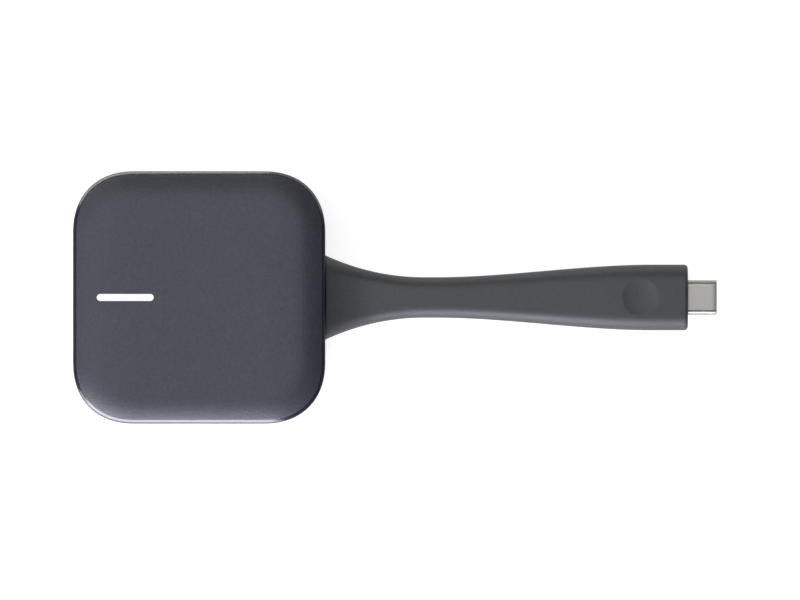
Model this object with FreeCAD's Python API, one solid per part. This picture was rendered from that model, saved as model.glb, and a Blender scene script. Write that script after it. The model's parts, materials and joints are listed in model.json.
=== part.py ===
"""Wireless screen-casting dongle: a square puck with a press-down lid, and a short lead with a USB-C plug.

The puck stands on the XY plane with its centre over the origin, +Z up. The lead leaves the puck along +X.
All lengths are millimetres. Each function below makes one sub-part and returns its shape.
"""
import FreeCAD, Part

import math
import os

Vector = FreeCAD.Vector
X_AXIS, Y_AXIS, Z_AXIS = Vector(1, 0, 0), Vector(0, 1, 0), Vector(0, 0, 1)
ORIGIN = Vector(0, 0, 0)

# ---- Driving dimensions: puck ----
puck_width = 60.0          # outside width, both ways
corner_radius = 13.3       # vertical corners of the puck, in plan
foot_proud = 0.4           # the foot stands this far below the housing
floor_thickness = 1.6
skirt_wall = 1.0           # lid skirt
lip_gap = 0.3              # sliding gap between the lid skirt and the housing lip
lip_wall = 0.9             # housing lip inside the lid skirt
bottom_radius = 3.2        # roll at the housing's bottom edge
wall_draft_deg = 4.0       # the housing wall leans out towards the top
fit_gap = 0.1              # general gap between pieces that seat in one another
slide_gap = 0.3            # gap beside pieces that move
touch_gap = 0.02           # gap between faces that only just clear one another

# ---- Driving dimensions: lid, which is the push button ----
press_travel = 0.4
press_spare = 0.2          # room left under the lid when it is fully down
lid_rise = 4.6             # lid top above the housing wall
lid_thickness = 1.6
edge_facet = 0.85          # width in plan of the facet round the lid's edge
edge_facet_drop = 0.7
roll_width = 6.2           # width in plan of the roll-off inside the facet
roll_start_deg = 2.2       # slope where the roll-off starts
roll_end_deg = 29.0        # slope where it meets the facet
underside_fall = 1.1       # the underside falls this much towards the skirt
rib_thickness, rib_depth = 1.0, 1.2
hook_from_middle, hook_from_wall = 12.0, 3.4
hook_width, hook_thickness, hook_catch = 4.0, 1.2, 0.8
pad_inset, pad_radius, pad_height = 8.0, 1.8, 1.8    # return pads, in from the puck's sides
pad_boss_margin = 0.4      # the lid's bosses over the pads are this much larger in radius
stop_inset_x, stop_inset_y, stop_radius = 8.0, 16.0, 1.0
plunger_margin = 0.5       # the lid's plunger is this much larger in radius than the switch's stem

# ---- Driving dimensions: stack inside the puck ----
board_standoff = 2.2
board_thickness = 1.0
board_headroom = 2.8       # free height over the board
frame_thickness = 1.2
wall_over_frame = 0.2
screw_inset = 12.0         # screw axes, in from the puck's sides
screw_radius = 1.0
screw_length = 6.0
screw_head_radius = 1.9
screw_head_height = 1.3
screw_thread_room = 0.4    # free depth past the screw's tip
screw_head_gap = 0.2       # round the screw's head
drive_reach, drive_slot, drive_depth = 1.0, 0.4, 0.7
boss_radius = 2.6
board_edge_gap = 1.8       # board edge to housing wall

# ---- Driving dimensions: foot ----
foot_inset = 5.0           # foot's edge, in from the puck's sides
foot_thickness = 1.0
foot_groove_inset, foot_groove_width, foot_groove_depth = 3.0, 0.8, 0.3

# ---- Driving dimensions: what the board carries ----
# A block is (x, y, length, width, height) on the board's top.
processor_can = (0.0, 15.0, 18.0, 13.0, 1.8)
radio_can = (-1.0, -15.0, 16.0, 12.0, 1.8)
can_sheet = 0.2
processor_block = (-1.5, 15.0, 11.0, 11.0, 0.9)
radio_block = (-1.0, -15.0, 7.0, 7.0, 0.8)
flash_block = (-15.0, -11.0, 6.0, 8.0, 1.0)
crystal_block = (-14.0, 12.0, 3.2, 2.5, 0.7)
inductor_block = (14.0, 11.5, 4.0, 4.0, 1.6)
inductor_corner = 0.9
capacitor_size = (1.0, 0.6, 0.5)
capacitor_pitch = 1.6
capacitor_rows = [(11.2, 17.0, 4), (9.2, -18.0, 5), (-12.8, 16.5, 3)]    # x, first y, how many
spreader_limits, spreader_thickness, spreader_corner = (-12.0, 12.0, 3.0, 22.5), 0.6, 1.5
thermal_pad_half = 6.5
antenna_inset, antenna_sheet, antenna_rise = 1.0, 0.2, 2.2
antenna_y0, antenna_y1, antenna_strip, antenna_web_gap = 5.5, 15.5, 2.4, 0.6
antenna_foot_width, antenna_foot_pitch = 0.8, 3.0
lamp_size, lamp_pitch, lamp_count = (1.6, 0.8, 0.6), 4.2, 3
shade_margin, shade_wall, shade_below_frame = 1.1, 0.7, 0.2
switch_width, switch_height, switch_well_floor = 6.2, 3.5, 1.5
switch_room = 0.6          # round the switch, through the frame
switch_stud_radius, switch_stud_inset, switch_stud_rise = 0.45, 0.8, 0.2
stem_height, stem_radius = 0.8, 1.7
connector_x = 10.2         # open face of the header that the lead's wires plug into
header_size, header_pocket, header_floor = (2.4, 8.4, 1.8), (1.6, 7.2, 1.0), 0.4
cable_plug_size, tongue_size = (2.0, 7.8, 1.6), (1.4, 7.0, 0.9)
tongue_sunk, tongue_gap = 0.2, 0.05
wire_radius, wire_count, wire_pitch_in, wire_pitch_out = 0.2, 6, 1.2, 0.43
wire_lift = 0.7            # wires leave the cable this far over its middle

# ---- Driving dimensions: status light ----
light_length = 13.5
light_width = 1.6
light_from_edge = 12.5     # light's centre, in from the puck's -X side
light_flange = 1.0
light_flange_thickness = 0.6
light_leg_length = 3.2
light_leg_inset = 0.2      # the leg is this much slimmer than the bar, all round

# ---- Driving dimensions: lead ----
lead_length = 86.3         # puck side to the plug grip's end face
lead_height = 5.6          # lead's centre plane above the ground
root_half_width, neck_half_width, head_half_width = 10.05, 4.84, 7.84
root_thickness, neck_thickness, head_thickness = 5.6, 5.8, 7.5
root_flare_length = 24.0   # puck side to where the neck is narrowest
root_flare_power = 2.1
root_rise = 2.4               # how far the lead's top rises to meet the puck
root_to_lid = 0.2             # between the raised root and the lid's side
root_rise_length = 12.0       # puck side to where its top is level
head_flare_start = 26.0    # from the puck side
head_flare_length = 52.0
lead_stations = 16
hinge_count = 6
hinge_first = 14.0         # first bend axis, from the puck side
hinge_pitch = 8.0
hinge_gap = 0.2
grip_end_radius = 0.8
flange_half_width, flange_length = 12.5, 2.3
cable_radius = 1.6
dimple_radius, dimple_depth = 4.4, 0.4
dimple_from_end = 11.3

# ---- Driving dimensions: how the lead is held in the puck ----
clamp_inset, clamp_screw_y = 9.6, 5.6
clamp_thickness, clamp_width = 0.6, 3.0
clamp_boss_radius, clamp_screw_radius, clamp_screw_length = 1.7, 0.7, 3.2
clamp_head_radius, clamp_head_height = 1.3, 0.8
cradle_half = 3.2
cable_end_gap = 2.4        # cable's end to the clamp's middle
fence_width, fence_gap, fence_inner = 1.0, 0.4, 4.0
notch_from_clamp, notch_half = 4.0, 9.0              # cut-out of the board round the clamp

# ---- Driving dimensions: USB-C plug ----
shell_width, shell_height, shell_wall = 8.25, 2.40, 0.25
shell_reach = 6.9          # plug shell beyond the grip
shell_buried = 7.3         # plug shell inside the grip
mouth_width, mouth_height, mouth_depth = 6.9, 0.9, 5.4
contact_count, contact_pitch = 12, 0.5
contact_width, contact_thickness = 0.24, 0.12
card_width, card_thickness, card_length = 9.0, 0.8, 10.5
can_width, can_height, can_wall = 10.4, 4.4, 0.25
card_in_shell = 1.0        # card beyond the shell's rear edge
card_corner_margin = 0.5   # the card's tongue clears the shell's wall by this
mould_wall, mould_corner, mould_past_can = 0.8, 1.2, 2.0
can_before_card, can_past_shell = 0.6, 2.0
crimp_length, crimp_wall, crimp_in_mould = 3.4, 0.45, 0.4
marker_from_end, marker_size = 3.5, (3.0, 3.0, 0.7)  # marker chip on the card
insulator_inset = 0.3      # insulator's face inside the shell's mouth
contact_start, contact_end = 0.3, 0.5                # from the mouth's floor, from the insulator's face
latch_thickness, latch_start, latch_end, latch_slim = 0.25, 0.2, 0.6, 0.15

# ---- How shapes are put together ----
cut_past = 1.0             # cutting shapes run this far past what they cut
sink_in = 0.5              # joined shapes run this far into one another

# ---- Places that follow from the sizes above ----
half = puck_width / 2
wall = skirt_wall + lip_gap + lip_wall
z_base = foot_proud
z_floor = z_base + floor_thickness
z_board = z_floor + board_standoff
z_board_top = z_board + board_thickness
z_frame = z_board_top + board_headroom
z_frame_top = z_frame + frame_thickness
z_wall_top = z_frame_top + wall_over_frame
z_skirt = z_wall_top + press_travel + press_spare
z_lid_top = z_wall_top + lid_rise
z_lid_under = z_lid_top - lid_thickness
z_lip_top = z_lid_under - underside_fall - press_travel - press_spare
cavity_half = half - wall
cavity_corner = corner_radius - wall
corner_offset = half - corner_radius
screw_at = half - screw_inset
hook_y = cavity_half - hook_from_wall
pad_at = half - pad_inset
z_head = foot_thickness + fit_gap      # underside of the screw heads, hidden by the foot
z_seat = z_head + screw_head_height
z_stem_top = z_board_top + switch_height + stem_height
light_x = -half + light_from_edge
shade_half_length, shade_half_width = light_length / 2 + shade_margin, light_width / 2 + shade_margin
clamp_x = half - clamp_inset
clamp_outer_radius = cable_radius + fit_gap / 2 + clamp_thickness
cable_end_x = clamp_x - cable_end_gap
fence_x1 = cavity_half - flange_length - fence_gap
fence_x0 = fence_x1 - fence_width
z_notch = lead_height - root_thickness / 2 - fit_gap
board_half = cavity_half - board_edge_gap
board_x1 = fence_x0 - sink_in
hinge_xs = [half + hinge_first + n * hinge_pitch for n in range(hinge_count)]
x_grip_end = half + lead_length
x_shell0, x_shell1 = x_grip_end - shell_buried, x_grip_end + shell_reach
x_card1 = x_shell0 + card_in_shell
x_card0 = x_card1 - card_length
x_can0, x_can1 = x_card0 - can_before_card, x_shell0 + can_past_shell
crimp_radius = cable_radius + crimp_wall
x_mould0, x_mould1 = x_can0 - crimp_length + crimp_in_mould, x_can1 + mould_past_can
mould_half_width, mould_height = can_width / 2 + mould_wall, can_height + 2 * mould_wall
x_tongue0 = x_shell1 - mouth_depth
x_insulator0, x_insulator1 = x_card1 + touch_gap, x_shell1 - insulator_inset


# ---- Building blocks ----
def box(x0, x1, y0, y1, z0, z1):
    """A box given by its limits along each axis."""
    return Part.makeBox(x1 - x0, y1 - y0, z1 - z0, Vector(x0, y0, z0))


def post(x, y, z0, z1, radius):
    """An upright cylinder between two heights."""
    return Part.makeCylinder(radius, z1 - z0, Vector(x, y, z0), Z_AXIS)


def fuse(shapes):
    """All shapes as one, with split faces merged."""
    shapes = list(shapes)
    return shapes[0].multiFuse(shapes[1:]).removeSplitter()


def four_corners(distance):
    """The four points (+-distance, +-distance)."""
    return [(sx * distance, sy * distance) for sx in (-1, 1) for sy in (-1, 1)]


def rounded_plate(x0, x1, y0, y1, z0, z1, radius):
    """A flat plate with its four upright edges rounded."""
    plate = box(x0, x1, y0, y1, z0, z1)
    upright = [e for e in plate.Edges if abs(e.Vertexes[0].Z - e.Vertexes[1].Z) > (z1 - z0) / 2]
    return plate.makeFillet(radius, upright)


def stadium_wire(x, half_width, height, z_centre):
    """A slot-shaped outline in the plane at x: flat top and bottom, half-round sides."""
    r = height / 2
    flat = half_width - r
    left_top, left_low = Vector(x, -flat, z_centre + r), Vector(x, -flat, z_centre - r)
    right_top, right_low = Vector(x, flat, z_centre + r), Vector(x, flat, z_centre - r)
    return Part.Wire([
        Part.makeLine(left_top, right_top),
        Part.Arc(right_top, Vector(x, half_width, z_centre), right_low).toShape(),
        Part.makeLine(right_low, left_low),
        Part.Arc(left_low, Vector(x, -half_width, z_centre), left_top).toShape(),
    ])


def stadium_bar(x0, x1, half_width, height, z_centre):
    """A bar of slot-shaped section along X."""
    return Part.Face(stadium_wire(x0, half_width, height, z_centre)).extrude(Vector(x1 - x0, 0, 0))


def flat_slot(x_centre, length, width, z0, z1):
    """An upright slot-shaped plug, its long side along X."""
    r = width / 2
    run = length / 2 - r
    core = box(x_centre - run, x_centre + run, -r, r, z0, z1)
    return fuse([core, post(x_centre - run, 0, z0, z1, r), post(x_centre + run, 0, z0, z1, r)])


def arc_to(middle, end):
    """Marks a curved step of an outline."""
    return {"middle": middle, "end": end}


def outline_face(steps):
    """A face in the XZ plane from points (r, z) and arc steps, closed back to the first point."""
    at = start = Vector(steps[0][0], 0, steps[0][1])
    edges = []
    for step in steps[1:]:
        if isinstance(step, dict):
            middle, end = (Vector(p[0], 0, p[1]) for p in (step["middle"], step["end"]))
            edges.append(Part.Arc(at, middle, end).toShape())
        else:
            end = Vector(step[0], 0, step[1])
            edges.append(Part.makeLine(at, end))
        at = end
    edges.append(Part.makeLine(at, start))
    return Part.Face(Part.Wire(edges))


def carry_round(face, centre_offset, z_range=None):
    """Carries an outline round a rounded square: turned at the corners, straight along the sides.

    r in the outline is measured from the corner arcs' centres, which stand at +-centre_offset.
    z_range closes the middle where the outline starts at r = 0.
    """
    pieces = []
    for turn in range(4):
        corner = face.revolve(ORIGIN, Z_AXIS, 90)
        corner.translate(Vector(centre_offset, centre_offset, 0))
        side = face.copy()
        side.translate(Vector(centre_offset, -centre_offset, 0))
        side = side.extrude(Vector(0, 2 * centre_offset, 0))
        for piece in (corner, side):
            piece.rotate(ORIGIN, Z_AXIS, 90 * turn)
            pieces.append(piece)
    if z_range:
        reach = centre_offset
        pieces.append(box(-reach, reach, -reach, reach, *z_range))
    return fuse(pieces)


# ---- Puck: lid ----
def lid_top_outline():
    """The lid's crowned top from its flat middle out to the edge facet: (steps, z at the wall)."""
    start, end = math.radians(roll_start_deg), math.radians(roll_end_deg)
    r_facet = corner_radius - edge_facet
    r_roll = r_facet - roll_width
    crown_radius = r_roll / math.sin(start)
    roll_radius = roll_width / (math.sin(end) - math.sin(start))
    z_roll = z_lid_top - crown_radius * (1 - math.cos(start))
    roll_centre = (r_roll - roll_radius * math.sin(start), z_roll - roll_radius * math.cos(start))

    def crown(angle):
        return (crown_radius * math.sin(angle), z_lid_top - crown_radius * (1 - math.cos(angle)))

    def roll(angle):
        out, up = roll_radius * math.sin(angle), roll_radius * math.cos(angle)
        return (roll_centre[0] + out, roll_centre[1] + up)

    facet_top = roll(end)
    z_wall = facet_top[1] - edge_facet_drop
    steps = [
        (0, z_lid_top),
        arc_to(crown(start / 2), crown(start)),
        arc_to(roll((start + end) / 2), facet_top),
        (corner_radius, z_wall),
    ]
    return steps, z_wall


def lid_envelope():
    """The lid filled solid, used to trim what is flush with its top."""
    steps, _ = lid_top_outline()
    face = outline_face(steps + [(corner_radius, z_skirt), (0, z_skirt)])
    return carry_round(face, corner_offset, (z_skirt, z_lid_top))


def light_slot(grow, z0, z1):
    """The status light's slot shape, grown by a gap."""
    return flat_slot(light_x, light_length + 2 * grow, light_width + 2 * grow, z0, z1)


def hook_span(side, margin):
    """Limits along X of the snap hook on one side, grown by a margin."""
    reach = hook_width / 2 + margin
    return side * hook_from_middle - reach, side * hook_from_middle + reach


def button_lid():
    """The pressed lid: crowned shell with skirt, plunger, ribs, pad bosses, stops and four snap hooks."""
    steps, _ = lid_top_outline()
    r_inside = corner_radius - skirt_wall
    r_flat = corner_radius - edge_facet - roll_width
    face = outline_face(steps + [
        (corner_radius, z_skirt),
        (r_inside, z_skirt),
        (r_inside, z_lid_under - underside_fall),
        (r_flat, z_lid_under),
        (0, z_lid_under),
    ])
    shell = carry_round(face, corner_offset, (z_lid_under, z_lid_top))
    root = z_lid_under + lid_thickness / 4
    added = [post(0, 0, z_stem_top + touch_gap, root, stem_radius + plunger_margin)]
    reach, rib, z_rib = half - corner_radius + r_flat, rib_thickness / 2, z_lid_under - rib_depth
    added.append(box(0, reach, -rib, rib, z_rib, root))
    added.append(box(-rib, rib, -reach, reach, z_rib, root))
    z_pad_top = z_frame_top + pad_height
    added += [post(x, y, z_pad_top + touch_gap, root, pad_radius + pad_boss_margin)
              for x, y in four_corners(pad_at)]
    z_stop = z_frame_top + press_travel + fit_gap / 2
    z_catch = z_frame - touch_gap
    for sx, sy in four_corners(1):
        added.append(post(sx * (half - stop_inset_x), sy * (half - stop_inset_y), z_stop, root, stop_radius))
        x0, x1 = hook_span(sx, 0)
        y0, y1 = sorted((sy * hook_y, sy * (hook_y + hook_thickness)))
        added.append(box(x0, x1, y0, y1, z_catch - hook_catch, root))
        y0, y1 = sorted((sy * hook_y, sy * (hook_y + hook_thickness + hook_catch)))
        added.append(box(x0, x1, y0, y1, z_catch - hook_catch, z_catch))
    z_slot = z_lid_under - lid_thickness
    lid = fuse([shell] + added).cut(light_slot(fit_gap / 2, z_slot, z_lid_top + cut_past))
    return lid.cut(light_slot(light_flange + fit_gap, z_slot, z_lid_under))


def light_pipe():
    """Milky light bar flush with the lid's top, with a flange under the lid and a leg down to the lamps."""
    bar = light_slot(0, z_lid_under - light_flange_thickness, z_lid_top + cut_past).common(lid_envelope())
    flange = light_slot(light_flange, z_lid_under - light_flange_thickness, z_lid_under)
    leg = light_slot(-light_leg_inset, z_lid_under - light_flange_thickness - light_leg_length, z_lid_under)
    return fuse([bar, flange, leg])


def return_pads():
    """Four silicone pads that push the lid back up."""
    return Part.makeCompound([
        post(x, y, z_frame_top, z_frame_top + pad_height, pad_radius) for x, y in four_corners(pad_at)])


# ---- Puck: housing, foot and frame ----
def foot_plate(grow, z0, z1):
    """The foot's rounded square between two heights, grown by a gap."""
    reach = half - foot_inset + grow
    return rounded_plate(-reach, reach, -reach, reach, z0, z1, corner_radius - foot_inset + grow)


def foot_pad():
    """Silicone foot glued into a recess under the housing, over the screws, with a shallow groove in it."""
    outer, inner = -foot_groove_inset, -foot_groove_inset - foot_groove_width
    groove = foot_plate(outer, -cut_past, foot_groove_depth)
    groove = groove.cut(foot_plate(inner, -cut_past, foot_groove_depth))
    return foot_plate(0, 0, foot_thickness).cut(groove)


def lower_housing():
    """Bottom shell: rolled bottom edge, drafted wall, lip, screw bosses, lead notch and clamp seat."""
    draft = math.radians(wall_draft_deg)
    centre_z = z_base + bottom_radius
    centre_r = corner_radius - (bottom_radius + (z_wall_top - centre_z) * math.sin(draft)) / math.cos(draft)

    def roll(angle):
        return (centre_r + bottom_radius * math.cos(angle), centre_z + bottom_radius * math.sin(angle))

    bottom, side = -math.pi / 2, -draft
    r_lip_out = corner_radius - skirt_wall - lip_gap
    r_lip_in = r_lip_out - lip_wall
    inner_roll = bottom_radius - floor_thickness
    face = outline_face([
        (0, z_base),
        roll(bottom),
        arc_to(roll((bottom + side) / 2), roll(side)),
        (corner_radius, z_wall_top),
        (r_lip_out, z_wall_top),
        (r_lip_out, z_lip_top),
        (r_lip_in, z_lip_top),
        (r_lip_in, z_floor + inner_roll),
        (r_lip_in - inner_roll, z_floor),
        (0, z_floor),
    ])
    shell = carry_round(face, corner_offset, (z_base, z_floor))
    z_root = z_floor - sink_in
    bosses = [post(x, y, z_root, z_board, boss_radius) for x, y in four_corners(screw_at)]
    for sy in (-1, 1):
        y0, y1 = sorted((sy * fence_inner, sy * (flange_half_width + fit_gap)))
        bosses.append(box(fence_x0, fence_x1, y0, y1, z_root, z_frame - fit_gap))
        bosses.append(post(clamp_x, sy * clamp_screw_y, z_root, lead_height, clamp_boss_radius))
    cradle = box(clamp_x - clamp_width / 2, clamp_x + clamp_width / 2, -cradle_half, cradle_half,
                 z_root, lead_height)
    cradle = cradle.cut(cable_bore(clamp_x - clamp_width, clamp_x + clamp_width))
    body = fuse([shell, cradle] + bosses)
    cuts = [foot_plate(fit_gap, z_base - cut_past, foot_thickness)]
    for x, y in four_corners(screw_at):
        cuts.append(post(x, y, z_base - cut_past, z_seat, screw_head_radius + screw_head_gap))
        cuts.append(post(x, y, z_base, z_board + cut_past, screw_radius + fit_gap))
    for sy in (-1, 1):
        cuts.append(post(clamp_x, sy * clamp_screw_y, z_floor, lead_height + cut_past,
                         clamp_screw_radius + touch_gap))
    notch = root_half_width + fit_gap
    cuts.append(box(cavity_half - cut_past, half + cut_past, -notch, notch, z_notch, z_lip_top + cut_past))
    for cut in cuts:
        body = body.cut(cut)
    return body


def middle_frame():
    """Inner frame screwed over the board: guides the lid, clamps the board and holds the lead down."""
    reach, radius = cavity_half - fit_gap, cavity_corner - fit_gap
    plate = rounded_plate(-reach, reach, -reach, reach, z_frame, z_frame_top, radius)
    posts = [post(x, y, z_board_top, z_frame + sink_in, boss_radius) for x, y in four_corners(screw_at)]
    body = fuse([plate] + posts)
    z0, z1 = z_frame - cut_past, z_frame_top + cut_past
    centre = switch_width / 2 + switch_room
    shade_x, shade_y = shade_half_length + fit_gap, shade_half_width + fit_gap
    cuts = [
        box(-centre, centre, -centre, centre, z0, z1),
        box(light_x - shade_x, light_x + shade_x, -shade_y, shade_y, z0, z1),
        Part.makeCylinder(clamp_outer_radius + slide_gap, 2 * clamp_width,
                          Vector(clamp_x - clamp_width, 0, lead_height), X_AXIS),
    ]
    for x, y in four_corners(screw_at):
        cuts.append(post(x, y, z_board_top - cut_past, z_seat + screw_length + screw_thread_room,
                         screw_radius + touch_gap))
    for sx, sy in four_corners(1):
        x0, x1 = hook_span(sx, slide_gap)
        y0, y1 = sorted((sy * (hook_y - slide_gap), sy * (hook_y + hook_thickness + fit_gap)))
        cuts.append(box(x0, x1, y0, y1, z0, z1))
    for cut in cuts:
        body = body.cut(cut)
    return body


def housing_screws():
    """Four thread-forming screws, up through the housing and board into the frame."""
    screws = []
    for x, y in four_corners(screw_at):
        head = post(x, y, z_head, z_seat, screw_head_radius)
        shank = post(x, y, z_seat, z_seat + screw_length, screw_radius)
        screw = fuse([head, shank])
        for a, b in ((drive_reach, drive_slot / 2), (drive_slot / 2, drive_reach)):
            screw = screw.cut(box(x - a, x + a, y - b, y + b, z_head, z_head + drive_depth))
        screws.append(screw)
    return Part.makeCompound(screws)


# ---- Puck: board and what it carries ----
def main_board():
    """Printed circuit board with screw holes and a notch round the cable clamp."""
    board = rounded_plate(-board_half, board_x1, -board_half, board_half, z_board, z_board_top,
                          cavity_corner - board_edge_gap)
    z0, z1 = z_board - cut_past, z_board_top + cut_past
    board = board.cut(box(clamp_x - notch_from_clamp, board_x1 + cut_past, -notch_half, notch_half, z0, z1))
    for x, y in four_corners(screw_at):
        board = board.cut(post(x, y, z0, z1, screw_radius + fit_gap))
    return board


def chip(x, y, length, width, height, lift=0.0):
    """A block on the board, or lifted off it."""
    z0 = z_board_top + lift
    return box(x - length / 2, x + length / 2, y - width / 2, y + width / 2, z0, z0 + height)


def shield_can(x, y, length, width, height):
    """An open-bottomed metal lid over chips."""
    outside = chip(x, y, length, width, height)
    return outside.cut(chip(x, y, length - 2 * can_sheet, width - 2 * can_sheet, height - can_sheet))


def processor_shield():
    return shield_can(*processor_can)


def radio_shield():
    return shield_can(*radio_can)


def processor_chip():
    return chip(*processor_block)


def radio_chip():
    return chip(*radio_block)


def flash_chip():
    return chip(*flash_block)


def timing_crystal():
    return chip(*crystal_block)


def power_inductors():
    """Two wound inductors near the lead's connector."""
    x, y, length, width, height = inductor_block
    z0 = z_board_top
    return Part.makeCompound([
        rounded_plate(x - length / 2, x + length / 2, side * y - width / 2, side * y + width / 2,
                      z0, z0 + height, inductor_corner) for side in (-1, 1)])


def capacitors():
    """Rows of small capacitors beside the cans."""
    return Part.makeCompound([
        chip(x, y + capacitor_pitch * n, *capacitor_size)
        for x, y, count in capacitor_rows for n in range(count)])


def heat_spreader():
    """Aluminium plate on the housing floor, under the processor."""
    return rounded_plate(*spreader_limits, z_floor + touch_gap, z_floor + spreader_thickness, spreader_corner)


def thermal_pad():
    """Soft pad between the spreader and the board."""
    x, y = processor_block[:2]
    reach = thermal_pad_half
    return box(x - reach, x + reach, y - reach, y + reach, z_floor + spreader_thickness, z_board)


def antenna(side):
    """Stamped inverted-F antenna at one of the board's corners: a foot, a web and a bent-over strip."""
    x0, sheet, y0, y1 = -board_half + antenna_inset, antenna_sheet, antenna_y0, antenna_y1
    z0, z1 = z_board_top + antenna_web_gap, z_board_top + antenna_rise
    web = box(x0, x0 + sheet, y0, y1, z0, z1)
    strip = box(x0, x0 + antenna_strip, y0, y1, z1 - sheet, z1)
    feet = [box(x0, x0 + sheet, y, y + antenna_foot_width, z_board_top, z0 + sheet)
            for y in (y0, y0 + antenna_foot_pitch)]
    shape = fuse([web, strip] + feet)
    return shape if side > 0 else shape.mirror(ORIGIN, Y_AXIS)


def antenna_left():
    return antenna(1)


def antenna_right():
    return antenna(-1)


def indicator_lamps():
    """White light-emitting diodes in a row under the light pipe."""
    return Part.makeCompound([chip(light_x + (n - (lamp_count - 1) / 2) * lamp_pitch, 0, *lamp_size)
                              for n in range(lamp_count)])


def light_shade():
    """Black light-tight box round the lamps, open to the light pipe's leg."""
    z0, z1 = z_board_top + touch_gap, z_frame_top - shade_below_frame
    x0, x1 = light_x - shade_half_length, light_x + shade_half_length
    outside = box(x0, x1, -shade_half_width, shade_half_width, z0, z1)
    inner = shade_half_width - shade_wall
    return outside.cut(box(x0 + shade_wall, x1 - shade_wall, -inner, inner, z0 - cut_past, z1 + cut_past))


def switch_body():
    """Push switch's case and cover plate, with the well that its stem slides in."""
    case = chip(0, 0, switch_width, switch_width, switch_height)
    well = post(0, 0, z_board_top + switch_well_floor, z_stem_top, stem_radius + fit_gap)
    z_case = z_board_top + switch_height
    studs = [post(x, y, z_case - sink_in, z_case + switch_stud_rise, switch_stud_radius)
             for x, y in four_corners(switch_width / 2 - switch_stud_inset)]
    return fuse([case] + studs).cut(well)


def switch_stem():
    """The switch's moving stem, with room under it for the lid's whole travel."""
    return post(0, 0, z_board_top + switch_well_floor + press_travel + fit_gap, z_stem_top, stem_radius)


def board_connector():
    """Header on the board, open towards the lead."""
    body = chip(connector_x - header_size[0] / 2, 0, *header_size)
    return body.cut(chip(connector_x - header_pocket[0] / 2, 0, *header_pocket, header_floor))


def lead_connector():
    """Cable-side housing with a tongue plugged into the header."""
    x_body = connector_x + fit_gap
    body = chip(x_body + cable_plug_size[0] / 2, 0, *cable_plug_size)
    tongue = chip(x_body + tongue_sunk - tongue_size[0] / 2, 0, *tongue_size, header_floor + tongue_gap)
    return fuse([body, tongue])


def lead_wires():
    """Insulated wires fanning out from the cable to the connector."""
    wires = []
    x0, x1 = connector_x + fit_gap + cable_plug_size[0], cable_end_x
    for n in range(wire_count):
        share = n - (wire_count - 1) / 2
        start = Vector(x1, wire_pitch_out * share, lead_height + wire_lift)
        run = Vector(x0, wire_pitch_in * share, z_board_top + tongue_size[2]) - start
        wires.append(Part.makeCylinder(wire_radius, 2 * run.Length, start - run * 0.5, run))
    return Part.makeCompound(wires).common(box(x0, x1, -half, half, 0, z_lid_top))


def cable_clamp():
    """Stamped saddle over the cable, held by two screws."""
    x0, x1 = clamp_x - clamp_width / 2, clamp_x + clamp_width / 2
    reach = clamp_screw_y + clamp_boss_radius
    outer = clamp_outer_radius
    bar = box(x0, x1, -reach, reach, lead_height + touch_gap, lead_height + clamp_thickness)
    hump = Part.makeCylinder(outer, clamp_width, Vector(x0, 0, lead_height), X_AXIS)
    hump = hump.common(box(x0, x1, -outer, outer, lead_height + touch_gap, lead_height + outer))
    body = fuse([bar, hump]).cut(cable_bore(x0 - cut_past, x1 + cut_past))
    for sy in (-1, 1):
        body = body.cut(post(clamp_x, sy * clamp_screw_y, lead_height - cut_past,
                             lead_height + clamp_thickness + cut_past, clamp_screw_radius + fit_gap))
    return body


def clamp_screws():
    """Two small screws through the cable clamp."""
    screws = []
    z_top = lead_height + clamp_thickness
    for sy in (-1, 1):
        head = post(clamp_x, sy * clamp_screw_y, z_top, z_top + clamp_head_height, clamp_head_radius)
        shank = post(clamp_x, sy * clamp_screw_y, z_top - clamp_screw_length, z_top, clamp_screw_radius)
        screws.append(fuse([head, shank]))
    return Part.makeCompound(screws)


# ---- Lead ----
def smooth_step(t):
    """0 to 1 with level ends."""
    t = min(max(t, 0.0), 1.0)
    return t * t * (3 - 2 * t)


def lead_section(x):
    """The lead's half width, thickness and middle height at x, with its top raised to meet the puck."""
    from_puck = x - half
    root = min(max(1 - from_puck / root_flare_length, 0.0), 1.0) ** root_flare_power
    head = smooth_step((from_puck - head_flare_start) / head_flare_length)
    width = neck_half_width + (root_half_width - neck_half_width) * root
    width += (head_half_width - neck_half_width) * head
    thickness = neck_thickness + (root_thickness - neck_thickness) * root
    thickness += (head_thickness - neck_thickness) * head
    rise = root_rise * max(1 - from_puck / root_rise_length, 0.0) ** 2
    return width, thickness + rise, lead_height + rise / 2


def lead_envelope():
    """The whole lead moulding as one solid, from the puck side to the grip's end face."""
    xs = [half + lead_length * n / (lead_stations - 1) for n in range(lead_stations)]
    wires = [stadium_wire(x, *lead_section(x)) for x in xs]
    return Part.makeLoft(wires, True, False)


def knuckle(x, extra):
    """A round bar across the lead at a bend axis, as thick as the lead plus twice extra."""
    reach = 2 * head_half_width
    radius = lead_section(x)[1] / 2 + extra
    return Part.makeCylinder(radius, 2 * reach, Vector(x, -reach, lead_height), Y_AXIS)


def lead_slice(envelope, x0, x1, round_start, round_end):
    """Part of the lead between two places. A rounded end turns in the hollow end of the next slice."""
    reach = 2 * root_half_width
    piece = envelope.common(box(x0, x1, -reach, reach, -reach, reach))
    if round_end:
        piece = fuse([piece, envelope.common(knuckle(x1, 0))])
    if round_start:
        piece = piece.cut(knuckle(x0, hinge_gap))
    return piece


def cable_bore(x0, x1):
    """Room for the cable inside the moulding."""
    return Part.makeCylinder(cable_radius + fit_gap / 2, x1 - x0, Vector(x0, 0, lead_height), X_AXIS)


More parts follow.
